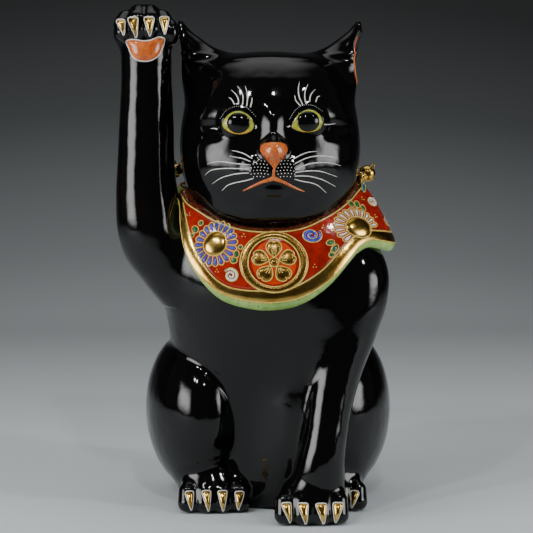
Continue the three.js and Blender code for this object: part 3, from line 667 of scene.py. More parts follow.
gilt = gilding("gold_lustre", (0.42, 0.23, 0.04), (0.80, 0.53, 0.13), (0.15, 0.24), 0.00001)
dark_gilt = gilding("gold_lustre_brushed", (0.27, 0.15, 0.03), (0.42, 0.26, 0.06), (0.24, 0.30), 0.000004)


# ---- Build: the body
BODY_BOX = ((-118, -100, -4), (104, 104, 370))  # mm, the room that the body is meshed in
body_points, body_quads, body_normals = mesh_form(make_body(), *BODY_BOX, VOXEL)
new_piece(
    "porcelain_body", body_points, body_quads, black_glaze,
    ("torso_shell", "head_shell", "right_ear", "left_ear", "raised_foreleg", "raised_paw", "standing_foreleg",
     "standing_paw", "right_haunch", "left_haunch", "right_hind_foot", "left_hind_foot", "tail"),
    body_normals,
)
skin = BVHTree.FromPolygons(body_points.tolist(), body_quads.tolist())


def meet_skin(start, direction):
    """Where a straight line first meets the body, and the smooth normal there."""
    spot, _, face, _ = skin.ray_cast(Vector(start), Vector(direction))
    if spot is None:
        raise ValueError("a line from %s misses the body" % (tuple(start),))
    return np.array(spot), unit(body_normals[body_quads[face]].mean(0))


def from_front(x, z):
    return meet_skin((x, -150, z), (0, 1, 0))


def on_front(x, z, lift):
    """The point of the body's front at x and z, lifted off it."""
    spot, normal = from_front(x, z)
    return spot + normal * lift


def front_line(batch, path, widths, height=0.3, steps=5, looped=False):
    """A raised line along a path of (x, z) on the body's front; widths run evenly along it."""
    path = smooth_loop(path, steps) if looped else smooth_path(path, steps)
    met = [from_front(x, z) for x, z in path]
    sizes = np.interp(np.linspace(0, 1, len(met)), np.linspace(0, 1, len(widths)), widths)
    bead(batch, met, sizes, np.minimum(sizes, height), looped=looped)


DOT_SECTION = ((1, -0.3), (1, 0.15), (0.7, 0.62), (0.2, 0.8))  # (distance out, lift) as shares of the radius


def front_dot(batch, x, z, radius):
    """A small raised dot of enamel on the body's front."""
    spot, normal = from_front(x, z)
    side = unit(np.cross(normal, (0, 0, 1)))
    upward = np.cross(side, normal)
    rings = [
        [spot + radius * (out * (side * math.cos(t) + upward * math.sin(t)) + lift * normal)
         for t in circle(8)]
        for out, lift in DOT_SECTION
    ]
    batch.add(np.concatenate(rings), lofted(rings))


# ---- Build: the face. Places on it are (x, z) as seen from the front.
EYES = {
    "right": [(-35.4, 279.0), (-34.2, 275.4), (-29.8, 272.4), (-22.3, 271.2), (-15.4, 273.6),
              (-13.4, 278.0), (-16.4, 284.2), (-23.6, 287.7), (-31.2, 285.2)],
    "left": [(12.0, 277.2), (14.4, 274.4), (22.3, 272.5), (30.6, 274.0), (34.6, 279.6), (31.0, 286.0),
             (24.2, 288.7), (16.4, 285.0)],
}
PUPILS = {"right": (-24.1, 279.2), "left": (23.6, 280.2)}
PUPIL_SIZE = (7.9, 7.0)
NOSE = [
    (-8.4, 264.9), (-4.4, 266.2), (0, 266.5), (4.4, 266.2), (8.0, 264.9), (9.6, 261.4), (7.6, 257.2),
    (4.0, 252.8), (1.2, 248.8), (0, 246.0), (-1.2, 248.8), (-4.2, 252.6), (-8.0, 257.0), (-10, 261.2),
]
NOSTRIL = [(3.2, 256.6), (4.6, 255.3), (6.3, 256.2), (6.6, 258.0)]
LIP_WIDTHS = [1.7, 1.4, 1.15, 0.95, 0.35]
MOUTH = [  # (path, half widths along it)
    ([(-0.2, 247.5), (-0.4, 245), (-0.5, 242.5), (-0.5, 240.8)], [1.1, 0.9, 1.0, 1.5]),
    ([(-0.2, 241.6), (-4.5, 240.0), (-9, 238.6), (-14.7, 235.8), (-21.4, 232.4)], LIP_WIDTHS),
    ([(-0.8, 241.6), (3.4, 240.0), (7.5, 238.3), (13.9, 234.9), (21.4, 231.8)], LIP_WIDTHS),
]
WHISKERS = [
    [(-14.9, 254.9), (-20.1, 258.0), (-24.6, 259.5), (-29.0, 260.3)],
    [(-16.2, 252.9), (-21.0, 254.8), (-25.5, 255.6), (-30.5, 256.6)],
    [(-17.1, 250.8), (-27.4, 251.5), (-34.6, 252.5), (-41.0, 252.1), (-45.7, 250.6)],
    [(-17.5, 247.8), (-30.1, 248.0), (-38.3, 247.5), (-43.8, 246.0), (-47.4, 242.8)],
    [(-17.4, 245.1), (-22.9, 244.7), (-29.2, 243.6), (-36.5, 241.0), (-42.5, 236.8)],
    [(-14.2, 241.5), (-19.2, 239.8), (-26.4, 238.1), (-31.9, 236.0), (-35.7, 232.1)],
    [(13.4, 254.7), (18.5, 257.3), (24.2, 259.2), (29.9, 259.6)],
    [(14.2, 251.5), (20.3, 254.3), (26.1, 256.0), (32.9, 256.5), (38.7, 256.0), (44.2, 254.7)],
    [(14.4, 247.2), (20.2, 249.8), (26.1, 251.4), (32.9, 251.9), (40.7, 251.3), (47.6, 249.2)],
    [(14.4, 245.4), (20.2, 246.1), (28.0, 246.3), (34.9, 245.2), (45.0, 241.5)],
    [(14.0, 243.0), (20.2, 242.9), (26.1, 242.2), (35.0, 239.5), (44.2, 234.6)],
    [(14.1, 240.8), (19.4, 239.2), (26.2, 237.8), (31.7, 235.4), (37.3, 230.4)],
]
LASHES = [
    [(-26.7, 291.8), (-28.8, 295.5), (-30.8, 296.8)],
    [(-24.2, 292.4), (-24.2, 295.4), (-25.7, 298.7), (-28.9, 301.9)],
    [(-21.5, 291.3), (-20.9, 296.8), (-22.1, 300.9), (-24.8, 304.6)],
    [(-18.6, 290.6), (-17.9, 295.9), (-18.2, 300.5), (-19.5, 304.6)],
    [(-16.0, 289.9), (-15.0, 294.1), (-14.8, 296.8)],
    [(18.5, 291.0), (15.5, 294.5), (14.6, 298.2)],
    [(20.3, 291.5), (17.9, 296.8), (17.3, 302.3), (18.2, 307.6)],
    [(22.7, 292.1), (21.7, 296.8), (22.2, 301.4), (24.3, 305.9)],
    [(25.1, 293.6), (25.5, 296.8), (26.7, 299.6), (29.5, 302.4)],
    [(29.5, 293.6), (30.8, 296.9), (32.7, 297.8)],
]
EYE_CORNERS = [
    [(-38.6, 274.8), (-41.0, 275.3), (-43.2, 275.2)], [(35.2, 278.2), (38.7, 278.0), (44.2, 278.6)],
    [(-12.4, 277.6), (-12.0, 276.3), (-12.8, 275.2)], [(11.0, 277.4), (10.0, 276.6), (8.6, 276.9)],
]
LID_ARCS = [
    [(-36.6, 282.4), (-32.2, 288.0), (-25.4, 290.6), (-18.4, 289.6), (-12.6, 284.0)],
    [(11.0, 282.0), (14.6, 287.6), (20.0, 291.2), (27.4, 291.2), (33.8, 287.4)],
]
MUZZLE_DOTS = dict(x=(-10.4, 8.0), z=248, steps=(2.3, 2.15), reach=(7.6, 6.8), radius=0.38)


def make_eyes():
    lids = Batch()
    for side, outline in EYES.items():
        patch_piece(side + "_eye_ring", eye_enamel, side + "_eye", smooth_loop(outline, 6), on_front, 0.9,
                    rings=6, dome=0.5)
        patch_piece(side + "_eye_pupil", black_glaze, side + "_pupil", oval(*PUPILS[side], *PUPIL_SIZE, 40),
                    on_front, 1.7, rim=0.6, rings=7, dome=1.2)
        front_line(lids, smooth_loop(outline, 2), [0.4], 0.5, looped=True)
    lids.piece("eye_outlines", black_glaze)


def make_nose_and_mouth():
    nostrils, mouth = Batch(), Batch()
    patch_piece("nose_leather", orange_enamel, "nose", smooth_loop(NOSE, 4), on_front, 0.9,
                rings=6, dome=0.3, centre=(-0.2, 260))
    for s in (-1, 1):
        met = [from_front(x, z) for x, z in smooth_path([(s * x, z) for x, z in NOSTRIL], 4)]
        raised = [(spot + normal * 0.8, normal) for spot, normal in met]
        bead(nostrils, raised, np.linspace(0.75, 0.3, len(met)), 0.35)
    nostrils.piece("nostrils", nostril_enamel)
    for path, widths in MOUTH:
        front_line(mouth, path, widths, 0.7)
    mouth.piece("mouth_strokes", orange_enamel, "mouth_line")


def make_face_lines():
    whiskers, lashes, dots = Batch(), Batch(), Batch()
    for path in WHISKERS:
        front_line(whiskers, path, [0.34, 0.4, 0.34, 0.14])
    whiskers.piece("whisker_strokes", white_enamel)
    for path in LASHES:
        front_line(lashes, path, [0.42, 0.44, 0.34, 0.14])
    for path in EYE_CORNERS:
        front_line(lashes, path, [0.5, 0.35, 0.14])
    lashes.piece("lash_strokes", white_enamel)
    for arc in LID_ARCS:
        for x, z in smooth_path(arc, 5):
            front_dot(dots, x, z, 0.26)
    (step_x, step_z), (reach_x, reach_z), mid_z = (MUZZLE_DOTS[k] for k in ("steps", "reach", "z"))
    for middle in MUZZLE_DOTS["x"]:
        for row in range(6):
            for column_number in range(6):
                x = middle + (column_number - 2.5) * step_x + (0.35 if row % 2 else -0.35)
                z = mid_z + 0.2 + (row - 2.5) * step_z - 0.02 * (x - middle) ** 2
                if ((x - middle) / reach_x) ** 2 + ((z - mid_z) / reach_z) ** 2 < 1:
                    front_dot(dots, x, z, MUZZLE_DOTS["radius"])
    dots.piece("white_dots", white_enamel)


# Outline of each ear's enamel, (y, z) with y from the middle of the ear's hollow.
EAR_LINING = [(0, 306), (-5.2, 309), (-7.6, 315), (-6.2, 325), (-3, 335), (0, 341), (3, 335), (6.0, 325),
              (7.2, 316), (5.2, 309)]
EAR_SIDE = 69.6  # mm, how far out a line to the ear's enamel starts


def make_ear_linings():
    """The enamel in each ear with a fine raised edge, white on the right ear and orange on the left."""
    for s, side, edge_enamel, half_width in (
            (-1, "right", white_enamel, 0.45), (1, "left", orange_enamel, 0.65)):
        def place(y, z, lift, s=s):
            spot, normal = meet_skin((s * EAR_SIDE, y, z), (-s, 0, 0))
            return spot + normal * lift

        outline = smooth_loop([(HOLLOW_DEPTH[s] + y, z) for y, z in EAR_LINING], 4)
        edging = Batch()
        patch_piece(side + "_ear_enamel", orange_enamel, side + "_ear_lining", outline, place, 0.6, rings=6)
        bead(edging, on_sheet(place, outline, 0.1), half_width, half_width, looped=True)
        edging.piece(side + "_ear_edging", edge_enamel)


# ---- Build: the paws
# (CAD node, top x, top z, half width at the top, tip x, tip z)
CLAWS = [
    ("raised_claw_1", -105.8, 351.2, 2.9, -103.9, 340.2), ("raised_claw_2", -97.2, 352.6, 3.4, -95.2, 338.4),
    ("raised_claw_3", -85.9, 352.8, 3.4, -85.4, 339.6), ("raised_claw_4", -75.4, 353.2, 3.2, -75.0, 340.8),
    ("standing_claw_1", 8.2, 16.6, 3.2, 10.6, 2.6), ("standing_claw_2", 19.6, 16.8, 3.4, 21.2, 2.4),
    ("standing_claw_3", 32.2, 16.6, 3.7, 33.6, 2.4), ("standing_claw_4", 44.0, 16.4, 3.5, 42.4, 2.6),
    ("right_hind_claw_1", -59.2, 16.4, 2.9, -58.0, 3.2), ("right_hind_claw_2", -47.0, 17.2, 3.0, -45.8, 2.8),
    ("right_hind_claw_3", -35.6, 17.0, 3.1, -35.2, 2.6), ("right_hind_claw_4", -23.4, 15.8, 3.1, -24.2, 3.0),
    ("left_hind_claw_4", 59.4, 15.4, 2.9, 57.4, 3.2),
]
PALM_PAD = [
    (-102.0, 336.4), (-96.4, 337.2), (-90.2, 336.2), (-84.6, 336.8), (-79.6, 338.9), (-75.2, 337.6),
    (-76.8, 332.2), (-79.2, 326.6), (-84.0, 323.0), (-89.4, 322.0), (-95.0, 323.2), (-98.8, 327.2),
    (-100.6, 331.8),
]


def make_claws():
    outlines = Batch()
    for name, x, z, half, tip_x, tip_z in CLAWS:
        long, lean = z - tip_z, (tip_x - x) * 0.4
        outline = [
            (x - half, z - 1.6), (x - half * 0.75, z - 0.2), (x, z), (x + half * 0.75, z - 0.2),
            (x + half, z - 1.6), (x + half * 0.72 + lean, z - long * 0.42),
            (tip_x + half * 0.26, tip_z + long * 0.16), (tip_x, tip_z),
            (tip_x - half * 0.26, tip_z + long * 0.16), (x - half * 0.72 + lean, z - long * 0.42),
        ]
        patch_piece(name + "_lustre", gilt, name, smooth_loop(outline, 4), on_front, 0.7,
                    rings=4, dome=0.7, centre=(x, z - long * 0.32))
        front_line(outlines, smooth_loop(outline, 2), [0.5], 0.55, steps=2, looped=True)
    outlines.piece("claw_outlines", white_enamel)


def make_palm_pad():
    edge = Batch()
    patch_piece("palm_pad_enamel", orange_enamel, "raised_paw_pad", smooth_loop(PALM_PAD, 4), on_front, 1.1,
                rings=6, dome=1.0, centre=(-89.4, 330.5))
    front_line(edge, smooth_loop(PALM_PAD, 2), [0.5], 0.6, steps=2, looped=True)
    edge.piece("palm_pad_outline", white_enamel)


# ---- Build: the bib
# The bib's outer face: level half ellipses (z, y, half width, half depth). A place on it is an angle round
# from the front towards the cat's left, in degrees, and a height z.
BIB_FACE = np.array([
    (140, -8, 94, 69), (165, -8, 94, 68), (180, -7, 93.5, 66), (192, -6, 91.5, 62.5),
    (204, -5, 86.5, 58.5), (216, -3, 80.5, 54), (230, 0, 72, 48), (244, 3, 58, 40),
], float)
# From the right end at the raised foreleg to the left end, which goes round the back, in degrees.
BIB_ENDS = (-64, 252)
# Heights along the bib, as (angle, z): its lower edge, its upper edge, and the top of its gilt border.
BIB_LOW = np.array([
    (-64, 226), (-57, 221), (-47, 202), (-38, 182), (-26.5, 165), (-12.5, 157.4), (0, 156), (13, 160.3),
    (25.6, 172), (35.7, 185.7), (40.6, 191.6), (46.6, 195.3), (51.4, 196.6), (59.3, 195.5), (77, 192.4),
    (100, 192), (140, 197), (180, 200), (225, 208), (262, 222),
], float)
BIB_HIGH = np.array([
    (-64, 230.5), (-50, 221.5), (-39.7, 216.6), (-29.3, 210.8), (-13.3, 204.6), (0, 203.6), (11.3, 205),
    (28, 213.2), (48, 224.3), (57, 228.6), (69, 232), (90, 234), (262, 234),
], float)
BORDER_TOP = np.array([
    (-54, 222.3), (-50.5, 217.5), (-45.4, 209.3), (-40, 199.3), (-34.6, 187.8), (-26, 172.3), (-20.4, 166.9),
    (-13.8, 164.6), (-7.4, 164.0), (7.9, 166.0), (13.1, 170), (19.9, 176.4), (32.2, 192.1), (40, 199),
    (50, 202.5), (61, 202), (81.6, 199.6), (140, 204), (180, 207), (225, 215), (256, 226),
], float)
RIM_DROP = 5.6  # mm, height of the green bevel under the face
RIM_DEPTH = 4.2  # mm, how far the bevel goes in


def bib_point(angle, z, lift=0.0):
    y0, rx, ry = (curve_through(BIB_FACE[:, 0], BIB_FACE[:, k], z) for k in (1, 2, 3))
    turn = math.radians(angle)
    return np.array([(rx + lift) * math.sin(turn), y0 - (ry + lift) * math.cos(turn), z])


def bib_normal(angle, z):
    along = bib_point(angle + 0.5, z) - bib_point(angle - 0.5, z)
    upward = bib_point(angle, z + 0.5) - bib_point(angle, z - 0.5)
    return unit(np.cross(along, upward))


def bib_lifted(angle, z, lift):
    return bib_point(angle, z) + bib_normal(angle, z) * lift


def level(table, angle):
    return float(curve_through(table[:, 0], table[:, 1], angle))


def bib_angles(start, end, step=2.0):
    return np.linspace(start, end, int(abs(end - start) / step) + 1)


def bib_band(name, ends, section, material, replaced):
    """A closed band along the bib; section(angle) gives its ring of (z, lift)."""
    band = Batch()
    band.skin([[bib_point(a, z, lift) for z, lift in section(a)] for a in bib_angles(*ends)])
    band.piece(name, material, replaced)


def rim_section(angle):
    low, high = level(BIB_LOW, angle), level(BIB_HIGH, angle)
    return [
        (high - 1.2, -7), (high - 1.0, -0.5), (low + 0.5, 0.0),
        (low - RIM_DROP * 0.35, -0.55), (low - RIM_DROP * 0.75, -RIM_DEPTH * 0.55),
        (low - RIM_DROP, -RIM_DEPTH * 0.9), (low - RIM_DROP - 0.7, -RIM_DEPTH - 1.4),
        (low - RIM_DROP + 0.2, -RIM_DEPTH - 3.6), (low - RIM_DROP + 3.5, -RIM_DEPTH - 6.5),
    ]


def border_section(angle):
    low, high = level(BIB_LOW, angle), min(level(BORDER_TOP, angle), level(BIB_HIGH, angle) - 0.4)
    span = max(high - low, 0.6)
    crown = min(0.95, 0.3 + span * 0.12)
    return [(low + span * s, crown * math.sin(math.pi * (0.06 + s * 0.88)) ** 0.5 - 0.1)
            for s in (0, 0.06, 0.2, 0.4, 0.6, 0.8, 0.94, 1)] + [(high, -1.0), (low, -1.0)]


def field_section(angle):
    low, high = level(BORDER_TOP, angle), level(BIB_HIGH, angle)
    span = max(high - low, 0.5)
    return [(low + span * s, 0.35 - 0.25 * (2 * s - 1) ** 4) for s in np.linspace(0, 1, 14)] + [
        (high, -1.0), (low, -1.0)]


def collar_section(angle):
    high = level(BIB_HIGH, angle)
    return [(high + rise, lift) for rise, lift in (
        (-0.6, 0.15), (0.8, -0.3), (1.9, -1.6), (2.6, -4), (2.4, -8), (0.5, -12), (-5, -14.5), (-7, -12),
        (-4, -6), (-2, -2))]


def pressed(angle, z):
    """A patch of the bib's face as a flat sheet: place(u, v, lift), u mm round to the left and v mm up."""
    speed = np.linalg.norm(bib_point(angle + 0.5, z) - bib_point(angle - 0.5, z))
    return lambda u, v, lift: bib_lifted(angle + u / speed, z + v, lift)


def on_sheet(place, path, lift):
    """The spots of a path laid by place(u, v, lift), each with the normal there."""
    return [(place(u, v, lift), unit(place(u, v, lift + 1) - place(u, v, lift))) for u, v in path]


def sheet_line(batch, place, path, width=0.5, height=0.5, lift=0.5, looped=False, steps=4):
    path = smooth_loop(path, steps) if looped else smooth_path(path, steps)
    bead(batch, on_sheet(place, path, lift), width, height, around=7, looped=looped)


def oval(u, v, ru, rv, count=36, tilt=0.0):
    """An ellipse about (u, v), tilted by so many degrees."""
    ct, st = math.cos(math.radians(tilt)), math.sin(math.radians(tilt))
    flat = [(ru * math.cos(t), rv * math.sin(t)) for t in circle(count)]
    return [(u + a * ct - b * st, v + a * st + b * ct) for a, b in flat]


def flower(lines, petals, place, disc, outer, count, petal_share, hidden):
    """A many-petalled flower: petals as separate patches, each inside a raised yellow arch.

    No petal is made where its direction, in degrees from the sheet's u axis, lies within hidden.
    """
    (disc_u, disc_v), (out_u, out_v) = disc, outer
    step = 2 * math.pi / count
    half = step * petal_share

    def arch(turn, corners):
        """Points of an arch from (share of the way from the disc to the tips, half angle), on both sides."""
        spots = [(share, -side) for share, side in corners] + corners[-2::-1]
        return [(math.cos(turn + side) * (disc_u + (out_u - disc_u) * share),
                 math.sin(turn + side) * (disc_v + (out_v - disc_v) * share)) for share, side in spots]

    for k in range(count):
        turn = 0.1 + k * step
        if hidden[0] < math.degrees(turn) < hidden[1]:
            continue
        outline = arch(turn, [(0.10, half * 0.45), (0.45, half * 0.8), (0.78, half), (0.93, 0)])
        patch(petals, smooth_loop(outline, 2), place, 0.95, rings=3)
        edge = arch(turn, [(0.02, step / 2), (0.5, step / 2), (0.86, step * 0.40), (1.03, 0)])
        sheet_line(lines, place, edge, 0.42, 0.4, 0.45, steps=3)


def spiral(lines, band, angle, z, ru, rv, turns, start, width):
    """A rolled ribbon of enamel with a raised line along its outer side."""
    fine = np.linspace(0, 1, int(22 * turns))
    taper = np.minimum(1, np.minimum(fine * 8 + 0.3, (1 - fine) * 8 + 0.3))
    for batch, scale, half, lift in ((band, 1, width, 0.55), (lines, 1 + width / ru * 1.25, 0.4, 0.6)):
        shares = (0.12 + 0.88 * fine) * scale
        around = start + fine * turns * 2 * math.pi
        path = np.stack([ru * shares * np.cos(around), rv * shares * np.sin(around)], 1)
        bead(batch, on_sheet(pressed(angle, z), path, lift), half * taper, 0.45, around=7)


MEDALLION = dict(z=183.3, outer=(23.6, 20.4), inner=(18.0, 16.5))
RING_SECTION = ((0, -0.4), (0, 0.75), (0.25, 1.15), (0.5, 1.3), (0.75, 1.15), (1, 0.75), (1, -0.4))
PETAL = [(0, 3.9), (-2.4, 5.4), (-5.0, 8.6), (-5.6, 12.0), (-3.6, 14.8), (-1.2, 15.4), (0, 14.4), (1.2, 15.4),
         (3.6, 14.8), (5.6, 12.0), (5.0, 8.6), (2.4, 5.4)]
# (side, angle, z, size of the disc, size of the flower, half a petal as a share of its room, hidden)
FLOWERS = (("right", -26.6, 195.4, (8.2, 8.0), (15.6, 15.3), 0.34, (0, 0)),
           ("left", 45.6, 205.4, (11.0, 7.0), (20.5, 13.2), 0.24, (232, 348)))
LEAVES = [  # (angle, z, half length, half width, tilt)
    (-36.6, 209.0, 1.5, 1.5, 20), (-38.9, 204.6, 2.7, 1.9, -35), (-39.6, 200.6, 1.3, 1.2, 0),
    (-14.6, 193.4, 1.3, 1.2, 0), (-16.2, 188.7, 1.7, 2.2, 0), (-17.2, 184.4, 2.2, 1.7, 20),
    (46.6, 221.3, 2.2, 1.9, 80), (51.3, 220.9, 2.2, 2.1, 70), (55.4, 218.3, 2.0, 1.9, 60),
    (26.2, 195.9, 3.0, 1.6, 10), (27.8, 191.6, 3.6, 1.8, 40), (26.0, 187.8, 2.2, 1.5, 20),
]
BERRIES = [  # (angle, z) of each group of three dots
    (-46.0, 214.6), (-13.6, 201.2), (24.4, 206.6), (59.6, 224.6), (17.6, 180.4), (-24.8, 177.2), (65, 212),
    (95, 215), (120, 218), (150, 216), (180, 220), (210, 221), (235, 226),
]


def make_medallion(lines):
    """A gilt ring round a vermilion ground with a five-petalled blossom."""
    place, outer, inner = pressed(0, MEDALLION["z"]), MEDALLION["outer"], MEDALLION["inner"]
    squeeze = inner[1] / inner[0]
    ring, blossom = Batch(), Batch()
    rings = []
    for t in circle(72):
        sizes = [[inner[k] + (outer[k] - inner[k]) * share for k in (0, 1)] for share, _ in RING_SECTION]
        rings.append([place(ru * math.cos(t), rv * math.sin(t), lift)
                      for (ru, rv), (_, lift) in zip(sizes, RING_SECTION)])
    ring.skin(rings, looped=True)
    ring.piece("medallion_gilt_ring", dark_gilt, "medallion_ring")
    patch_piece("medallion_enamel_ground", vermilion_enamel, "medallion_ground",
                oval(0, 0, inner[0] + 0.3, inner[1] + 0.3, 60), place, 0.6, rim=-0.3, rings=9)
    sheet_line(lines, place, oval(0, 0, *inner, 40), 0.5, 0.6, 0.75, looped=True, steps=2)
    sheet_line(lines, place, oval(0, 0, *outer, 40), 0.5, 0.55, 0.7, looped=True, steps=2)
    for k in range(5):
        turn = math.radians(90 + 72 * k)

        def spin(u, v, ct=math.cos(turn), st=math.sin(turn)):
            return (u * st + v * ct, (v * st - u * ct) * squeeze)

        petal = [spin(u * 0.97, v) for u, v in PETAL]
        patch(blossom, smooth_loop(petal, 3), place, 1.25, rings=4, centre=spin(0, 9.8))
        sheet_line(lines, place, petal, 0.42, 0.5, 0.8, looped=True)
        for lean, tip in ((-1.6, 8.4), (0, 9.4), (1.6, 8.4)):
            stem = [spin(lean * 0.5, 5.4), spin(lean * 0.8, 7), spin(lean, tip)]
            sheet_line(lines, place, stem, 0.26, 0.3, 1.3)
            seed = [spin(u, v) for u, v in oval(lean, tip, 0.55, 0.55, 8)]
            patch(lines, seed, place, 1.85, rim=1.0, rings=2)
    patch(blossom, oval(0, 0, 3.0, 3.0 * squeeze, 24), place, 1.5, rings=3, dome=0.4)
    sheet_line(lines, place, oval(0, 0, 3.2, 3.2 * squeeze, 20), 0.4, 0.5, 0.9, looped=True, steps=2)
    blossom.piece("medallion_gilt_blossom", dark_gilt, "medallion_blossom")


def make_bib():
    bib_band("bib_body", BIB_ENDS, rim_section, rim_glaze, "bib_slab")
    bib_band("bib_gilt_border", (-63, 251), border_section, gilt, "bib_border")
    bib_band("bib_red_field", (-53.5, 250.5), field_section, red_enamel, "bib_field")
    bib_band("collar_roll", BIB_ENDS, collar_section, collar_glaze, "collar_band")
    lines, blue, white, leaves = Batch(), Batch(), Batch(), Batch()
    blue_coil, white_low, white_high = Batch(), Batch(), Batch()
    for table, ends, lift in (
            (BORDER_TOP, (-54, 250), 0.55), (BIB_HIGH, (-58, 251), 0.3), (BIB_LOW, (-63, 251), 0.1)):
        places = [(a, level(table, a)) for a in bib_angles(*ends, step=1.5)]
        bead(lines, [(bib_lifted(*p, lift), bib_normal(*p)) for p in places], 0.5, 0.5, around=7)
    make_medallion(lines)

    for (side, angle, z, disc, outer, share, hidden), batch in zip(FLOWERS, (blue, white)):
        place = pressed(angle, z)
        flower(lines, batch, place, disc, outer, 20, share, hidden)
        patch_piece("flower_heart_" + side, gilt, "rosette_disc_" + side, oval(0, 0, *disc, 40), place, 1.1,
                    rings=7, dome=0.9)
        edge = oval(0, 0, disc[0] + 0.2, disc[1] + 0.2, 30)
        sheet_line(lines, place, edge, 0.45, 0.5, 0.6, looped=True, steps=2)
    blue.piece("flower_petals_right", blue_enamel, "rosette_petals_right")
    white.piece("flower_petals_left", white_enamel, "rosette_petals_left")

    # rolled ribbons
    spiral(lines, white_low, -18.4, 174.2, 4.9, 4.6, 2.0, 2.6, 0.85)
    spiral(lines, blue_coil, 17.4, 201.2, 6.8, 4.7, 2.0, 0.6, 1.15)
    spiral(lines, white_high, 71, 222.2, 7.4, 3.5, 2.0, 0.6, 0.85)
    spiral(lines, blue_coil, 83, 207.5, 7.0, 3.6, 1.8, 2.0, 1.1)
    white_low.piece("coil_white_low_band", white_enamel, "coil_white_low")
    white_high.piece("coil_white_high_band", white_enamel, "coil_white_high")
    blue_coil.piece("coil_blue_bands", blue_enamel, "coil_blue")

    for angle, z, long, wide, tilt in LEAVES:
        place = pressed(angle, z)
        patch(leaves, oval(0, 0, long - 0.2, wide - 0.2, 16, tilt), place, 0.95, rings=3)
        edge = oval(0, 0, long + 0.25, wide + 0.25, 12, tilt)
        sheet_line(lines, place, edge, 0.36, 0.4, 0.5, looped=True, steps=2)
    leaves.piece("bib_leaves", leaf_enamel)
    for angle, z in BERRIES:
        for u, v in ((0, 1.0), (-1.1, -0.6), (1.1, -0.7)):
            patch(lines, oval(u, v, 0.5, 0.5, 8), pressed(angle, z), 0.95, rings=2)
    lines.piece("bib_raised_lines", yellow_line)


# ---- Build: bells, knots and ribbons
def sphere_grid(centre, shape, rows, around, axis):
    """Rings of a round form about an axis; shape(latitude, longitude) gives (radius, height) on it."""
    axis = unit(np.array(axis, float))
    side = unit(np.cross(axis, (0.3, -1, 0.2)))
    third = np.cross(axis, side)
    rings = []
    for i in range(rows):
        latitude = -math.pi / 2 + math.pi * (i + 0.5) / rows
        ring = []
        for longitude in circle(around):
            out, high = shape(latitude, longitude)
            ring.append(np.array(centre) + axis * high
                        + out * (side * math.cos(longitude) + third * math.sin(longitude)))
        rings.append(ring)
    return rings


BELLS = {"left": (73, 13, 241), "right": (-74, 15, 247)}  # mm, the middle of each bell
BELL_LEAN = {"left": (0.55, -0.25, 0.8), "right": (-0.5, -0.2, 0.85)}
BELL_RADIUS = 6.2
RIBBON_STEPS = {  # mm from the middle of the bell; the right ribbon trails back behind the raised foreleg
    "left": [(-7, -11, -3.5), (-10, -20, -5.5), (-13.5, -29, -8.5), (-18.5, -38, -12)],
    "right": [(2, 6, -8), (1, 14, -14), (2, 22, -20), (5, 31, -27)],
}


def bell_shape(latitude, longitude):
    """A jingle bell: a ball with an equator ridge and a slot across its lower half."""
    r = BELL_RADIUS * (1 + 0.10 * math.exp(-(latitude / 0.10) ** 2))
    if latitude < -0.15:
        slot = abs(math.cos(latitude) * math.sin(longitude)) * BELL_RADIUS
        r -= math.exp(-(slot / 0.75) ** 2)
    return r * math.cos(latitude), r * math.sin(latitude)


def knot_shape(latitude, longitude):
    """A tied cord: a ball with deep folds that turn round it."""
    fold = 0.14 * math.cos(4 * longitude + 3.2 * latitude) * math.cos(latitude)
    return 5.0 * (1 + fold) * math.cos(latitude), 5.6 * (1 + fold * 0.6) * math.sin(latitude)


def make_bells():
    for side, lean in BELL_LEAN.items():
        bell = Batch()
        bell.skin(sphere_grid(BELLS[side], bell_shape, 30, 48, lean))
        axis = unit(np.array(lean))
        top = np.array(BELLS[side]) + axis * BELL_RADIUS
        side_way = unit(np.cross(axis, (0, 1, 0)))
        loop = [top + axis * (0.9 + 1.5 * math.sin(t)) + side_way * 1.5 * math.cos(t) for t in circle(18)]
        bead(bell, [(spot, np.cross(axis, side_way)) for spot in loop], 0.5, 0.5, looped=True)
        bell.piece(side + "_bell_lustre", gilt, side + "_bell")


def make_knots_and_ribbons():
    edges = Batch()
    for side, s in (("left", 1), ("right", -1)):
        bx, by, bz = BELLS[side]
        knot, ribbon = Batch(), Batch()
        knot.skin(sphere_grid((bx - s * 5.5, by - 8, bz - 3), knot_shape, 22, 48, (0.3 * s, -0.8, 0.5)))
        knot.piece(side + "_knot_lustre", gilt, side + "_knot")
        met = []
        for x, y, z in smooth_path([(bx + x, by + y, bz + z) for x, y, z in RIBBON_STEPS[side]], 6):
            angle = math.degrees(math.atan2(x, -(y - 1)))
            z = max(min(z, level(BIB_HIGH, angle) + 0.5), level(BIB_LOW, angle))
            met.append((bib_lifted(angle, z, 0.9), bib_normal(angle, z)))
        wide = np.linspace(2.4, 1.5, len(met))
        wide[-1] = 0.5
        bead(ribbon, met, wide, 0.75, around=12)
        ribbon.piece(side + "_ribbon_enamel", turquoise_enamel, side + "_ribbon")
        spots, normals = (np.array(part) for part in zip(*met))
        across = unit(np.cross(np.gradient(spots, axis=0), normals))
        for way in (-1, 1):
            bead(edges, list(zip(spots + across * (way * wide)[:, None], normals)), 0.42, 0.5, around=7)
    edges.piece("ribbon_edges", yellow_line)


make_eyes()
make_nose_and_mouth()
make_face_lines()
make_ear_linings()
make_claws()
make_palm_pad()
make_bib()
make_bells()
make_knots_and_ribbons()


